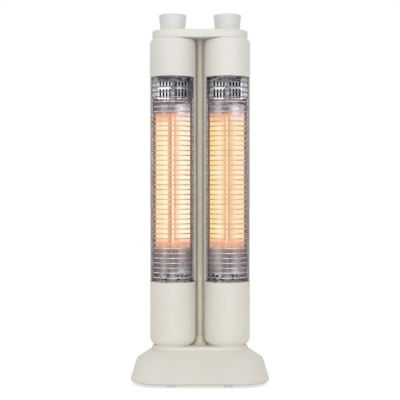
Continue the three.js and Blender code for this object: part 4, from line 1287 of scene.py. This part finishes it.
def plate_look(side):
    """Polished plate with painted reflections of the room in dark and bright bands, over an uneven
    surface.

    It is brightest beside the slots and most broken above them, and a faint painted glow lightens its
    outer wing.
    """
    look = Look(f"{side}_vent_sheet")
    u, _, z = look.axes(side)
    wander = look.noise(1.0, 3.0, (40, 40, 90))
    wander = look.within(wander, 0.2, 0.8, -PLATE_WANDER, PLATE_WANDER, smooth=False)
    across = look.within(look.math("ADD", u, wander), -LIP[0], LIP[0], smooth=False)
    crumple = look.streaks(90, 190, detail=4.0, distortion=1.5)
    half = PLATE_BACK[0]
    middle = look.between(u, -half, half, 1.5 * MM)
    outer = look.times(look.math("SUBTRACT", 1.0, middle), look.within(u, 0.0, -INWARD[side] * half))
    # Painted dark reflections in patches
    dark = look.within(crumple, 0.44, 0.34, to_high=look.within(middle, 0.0, 1.0, 0.25, 0.55))
    # Painted dark and bright reflection just below the plate's top edge
    top_reflection = look.within(look.streaks(80, 130, detail=2.0), 0.46, 0.54)
    top_reflection = look.mix(top_reflection, (34, 34, 38), (226, 226, 230))
    # Painted reflections: bright streaks, dark patches, and marks below the top edge
    shade = look.coats(
        look.ramp(across, BANDS[side]),
        (look.within(crumple, 0.54, 0.66, to_high=0.6), (248, 248, 252)),
        (dark, (50, 50, 56)),
        (look.within(z, PLATE_TOP - 6 * MM, PLATE_TOP - 3 * MM, to_high=0.8), top_reflection),
    )
    look.set(
        Base_Color=shade,
        Metallic=look.within(middle, 0.0, 1.0, 0.05, 0.45),
        Roughness=look.within(crumple, 0.3, 0.7, 0.16, 0.3),
        # A faint painted glow on the outer wing, away from the post
        Emission_Color=(226, 226, 236),
        Emission_Strength=look.times(outer, look.within(crumple, 0.4, 0.6, 0.06, 0.34)),
    )
    return look.bump(crumple, 0.3 * MM)


# Painted dark and bright reflections on the plate under the reflector
FLOOR_SHADES = ramp_stops(
    (0.4, 40, 40, 44), (0.46, 130, 128, 132), (0.52, 226, 224, 228), (0.64, 150, 146, 152),
)


def floor_look(side):
    """Round plate under the reflector, with painted reflections of the dark and the bright of the room in
    patches.
    """
    look = Look(f"{side}_floor_sheet")
    crumple = look.streaks(70, 70)
    look.set(
        Base_Color=look.ramp(crumple, FLOOR_SHADES),
        Metallic=0.4,
        Roughness=look.within(crumple, 0.3, 0.7, 0.2, 0.34),
    )
    return look.bump(crumple, 0.4 * MM)


STRIP_LIGHT = 1.02


def strip_look():
    """Carbon strip: white-hot along its length, redder towards its ends; grey rods beyond."""
    look = Look("glowing_strip")
    _, _, z = look.axes()
    lit = glowing(look, z, (-1, 3), (1, -3))
    hot = glowing(look, z, (2, 16), (-2, -16))
    pulse = look.within(look.noise(1.0, stretch=(10, 10, 300)), 0.3, 0.7)
    bright = look.mix(pulse, (255, 250, 222), (255, 255, 238))
    look.set(
        Base_Color=look.mix(lit, (170, 150, 152), (60, 40, 30)),
        Roughness=look.gloss(800, 0.5, 0.7),
        Emission_Color=look.mix(hot, (250, 170, 130), bright),
        Emission_Strength=look.times(lit, STRIP_LIGHT),
    )
    return look.bump(look.noise(1200), FINE_DEPTH)


QUARTZ_IOR = 1.45
QUARTZ_ALPHA = (0.14, 0.85)
TUBE_LIGHT = 0.74
TUBE_SOFT = 0.3 * MM
# The clear slit and the redder line, as places across the tube from its axis
TUBE_MARKS = {
    "left": ((-1.7 * MM, 2.5 * MM), (-6.5 * MM, -1.7 * MM)),
    "right": ((-2.4 * MM, 0.6 * MM), (0.6 * MM, 2.6 * MM)),
}


def tube_look(side):
    """Quartz: clear at its ends, filled with amber light beside the strip, with one redder line."""
    look = Look(f"{side}_quartz")
    u, _, z = look.axes(side)
    clear, line = TUBE_MARKS[side]
    lit = glowing(look, z)
    red = look.between(u, *line, TUBE_SOFT)
    ripple = look.within(look.streaks(60, 420), 0.35, 0.68)
    amber = look.mix(ripple, (242, 206, 162), (228, 180, 138))
    amber = look.mix(look.times(red, 0.8), amber, (206, 138, 126))
    cover = look.math("MAXIMUM", red, look.outside(u, *clear, TUBE_SOFT))
    least, most = QUARTZ_ALPHA
    look.set(
        Base_Color=look.mix(lit, (196, 180, 186), (150, 100, 70)),
        Roughness=look.gloss(200, 0.04, 0.1),
        IOR=QUARTZ_IOR,
        Alpha=look.math("MAXIMUM", look.times(look.times(lit, cover), most), least),
        Emission_Color=amber,
        Emission_Strength=look.times(lit, TUBE_LIGHT),
    )
    return look.bump(look.noise(60), 0.05 * MM)


# Put together

POST_PAINT = post_look()
STRIP = strip_look()
# The nodes that keep their CAD mesh, by look, with {} for a side
KEPT_NODES = (
    (CREAM, "bridge_base"),
    (BLACK, "base_plate", "terminal_block", "tip_switch", "tip_plunger"),
    (BLACK, "{}_lower_bush", "{}_rotary_switch"),
    (STEEL, "ballast_weight", "post_nut", "plate_screw_front_{}", "plate_screw_rear_{}"),
    (STEEL, "{}_lamp_clip", "{}_pivot_clip", "{}_knob_shaft"),
    (BRASS, "{}_switch_nut", "{}_thermostat"),
    (FOOT_RUBBER, "foot_front_{}", "foot_rear_{}"),
    (lead_look(), "{}_lamp_lead"),
)


def dress(node, look):
    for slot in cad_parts[node].material_slots:
        slot.material = look


base_shell()
for side in SIDES:
    lower_sleeve(side)
    upper_sleeve(side)
    rear_housing(side, housing_look(side))
    guard(side, wire_look(side))
    reflector(side, glow_look(side))
    vent_plate(side, plate_look(side))
    lamp(side, tube_look(side), STRIP)
    lamp_caps(side)
    knob(side)
post()
bridge()
gland()

for side in SIDES:
    for look, *nodes in KEPT_NODES:
        for node in nodes:
            dress(node.format(side), look)
    dress(f"{side}_reflector_floor", floor_look(side))


# Room: pale floor, white surroundings, soft lamps

FLOOR_HALF = 12.0
FLOOR_GLOW = 0.66
ROOM_LIGHT = 0.55
ROOM_TINT = (1.0, 0.962, 0.905, 1)
LAMP_TINT = (0.94, 0.97, 1.0)
LAMP_TARGET = Vector((0, 0, 0.33))
# Place, size and power of each lamp
LAMPS = {
    "key": ((-1.6, -2.5, 1.4), 1.8, 16.8),
    "fill": ((1.6, -2.5, 1.2), 1.8, 16.3),
    "front": ((0, -2.9, 0.3), 1.2, 12.6),
    "top": ((0, 0.3, 2.6), 2.0, 11),
}


def floor():
    points = [(x * FLOOR_HALF, y * FLOOR_HALF, 0) for x, y in ((-1, -1), (1, -1), (1, 1), (-1, 1))]
    mesh = bpy.data.meshes.new("floor")
    mesh.from_pydata(points, [], [(0, 1, 2, 3)])
    placed("floor", mesh)
    look = Look("pale_floor")
    look.set(
        Base_Color=(224, 224, 224),
        Roughness=look.gloss(3.0, 0.7, 0.9),
        Emission_Color=WHITE,
        Emission_Strength=look.times(look.seen(), FLOOR_GLOW),
    )
    mesh.materials.append(look.material)


def room():
    """A tinted light from all round, that the camera sees as plain white."""
    world = bpy.data.worlds.new("room")
    bpy.context.scene.world = world
    world.use_nodes = True
    nodes = Nodes(world.node_tree)
    nodes.tree.nodes.clear()
    light = nodes.fill(nodes.node("ShaderNodeBackground"), Color=ROOM_TINT, Strength=ROOM_LIGHT)
    white = nodes.fill(nodes.node("ShaderNodeBackground"), Color=WHITE, Strength=1.0)
    mix = nodes.node("ShaderNodeMixShader")
    for socket, value in zip(mix.inputs, (nodes.seen(), light.outputs[0], white.outputs[0])):
        nodes.put(socket, value)
    nodes.fill(nodes.node("ShaderNodeOutputWorld"), Surface=mix.outputs[0])


def lamp_light(name, place, size, power):
    data = bpy.data.lights.new(name, "AREA")
    data.size = size
    data.energy = power
    data.color = LAMP_TINT
    made = placed(name, data)
    made.location = place
    made.rotation_euler = (LAMP_TARGET - Vector(place)).to_track_quat("-Z", "Y").to_euler()


floor()
room()
for name, (place, size, power) in LAMPS.items():
    lamp_light(name, place, size, power)
bpy.context.scene.view_settings.view_transform = "Standard"
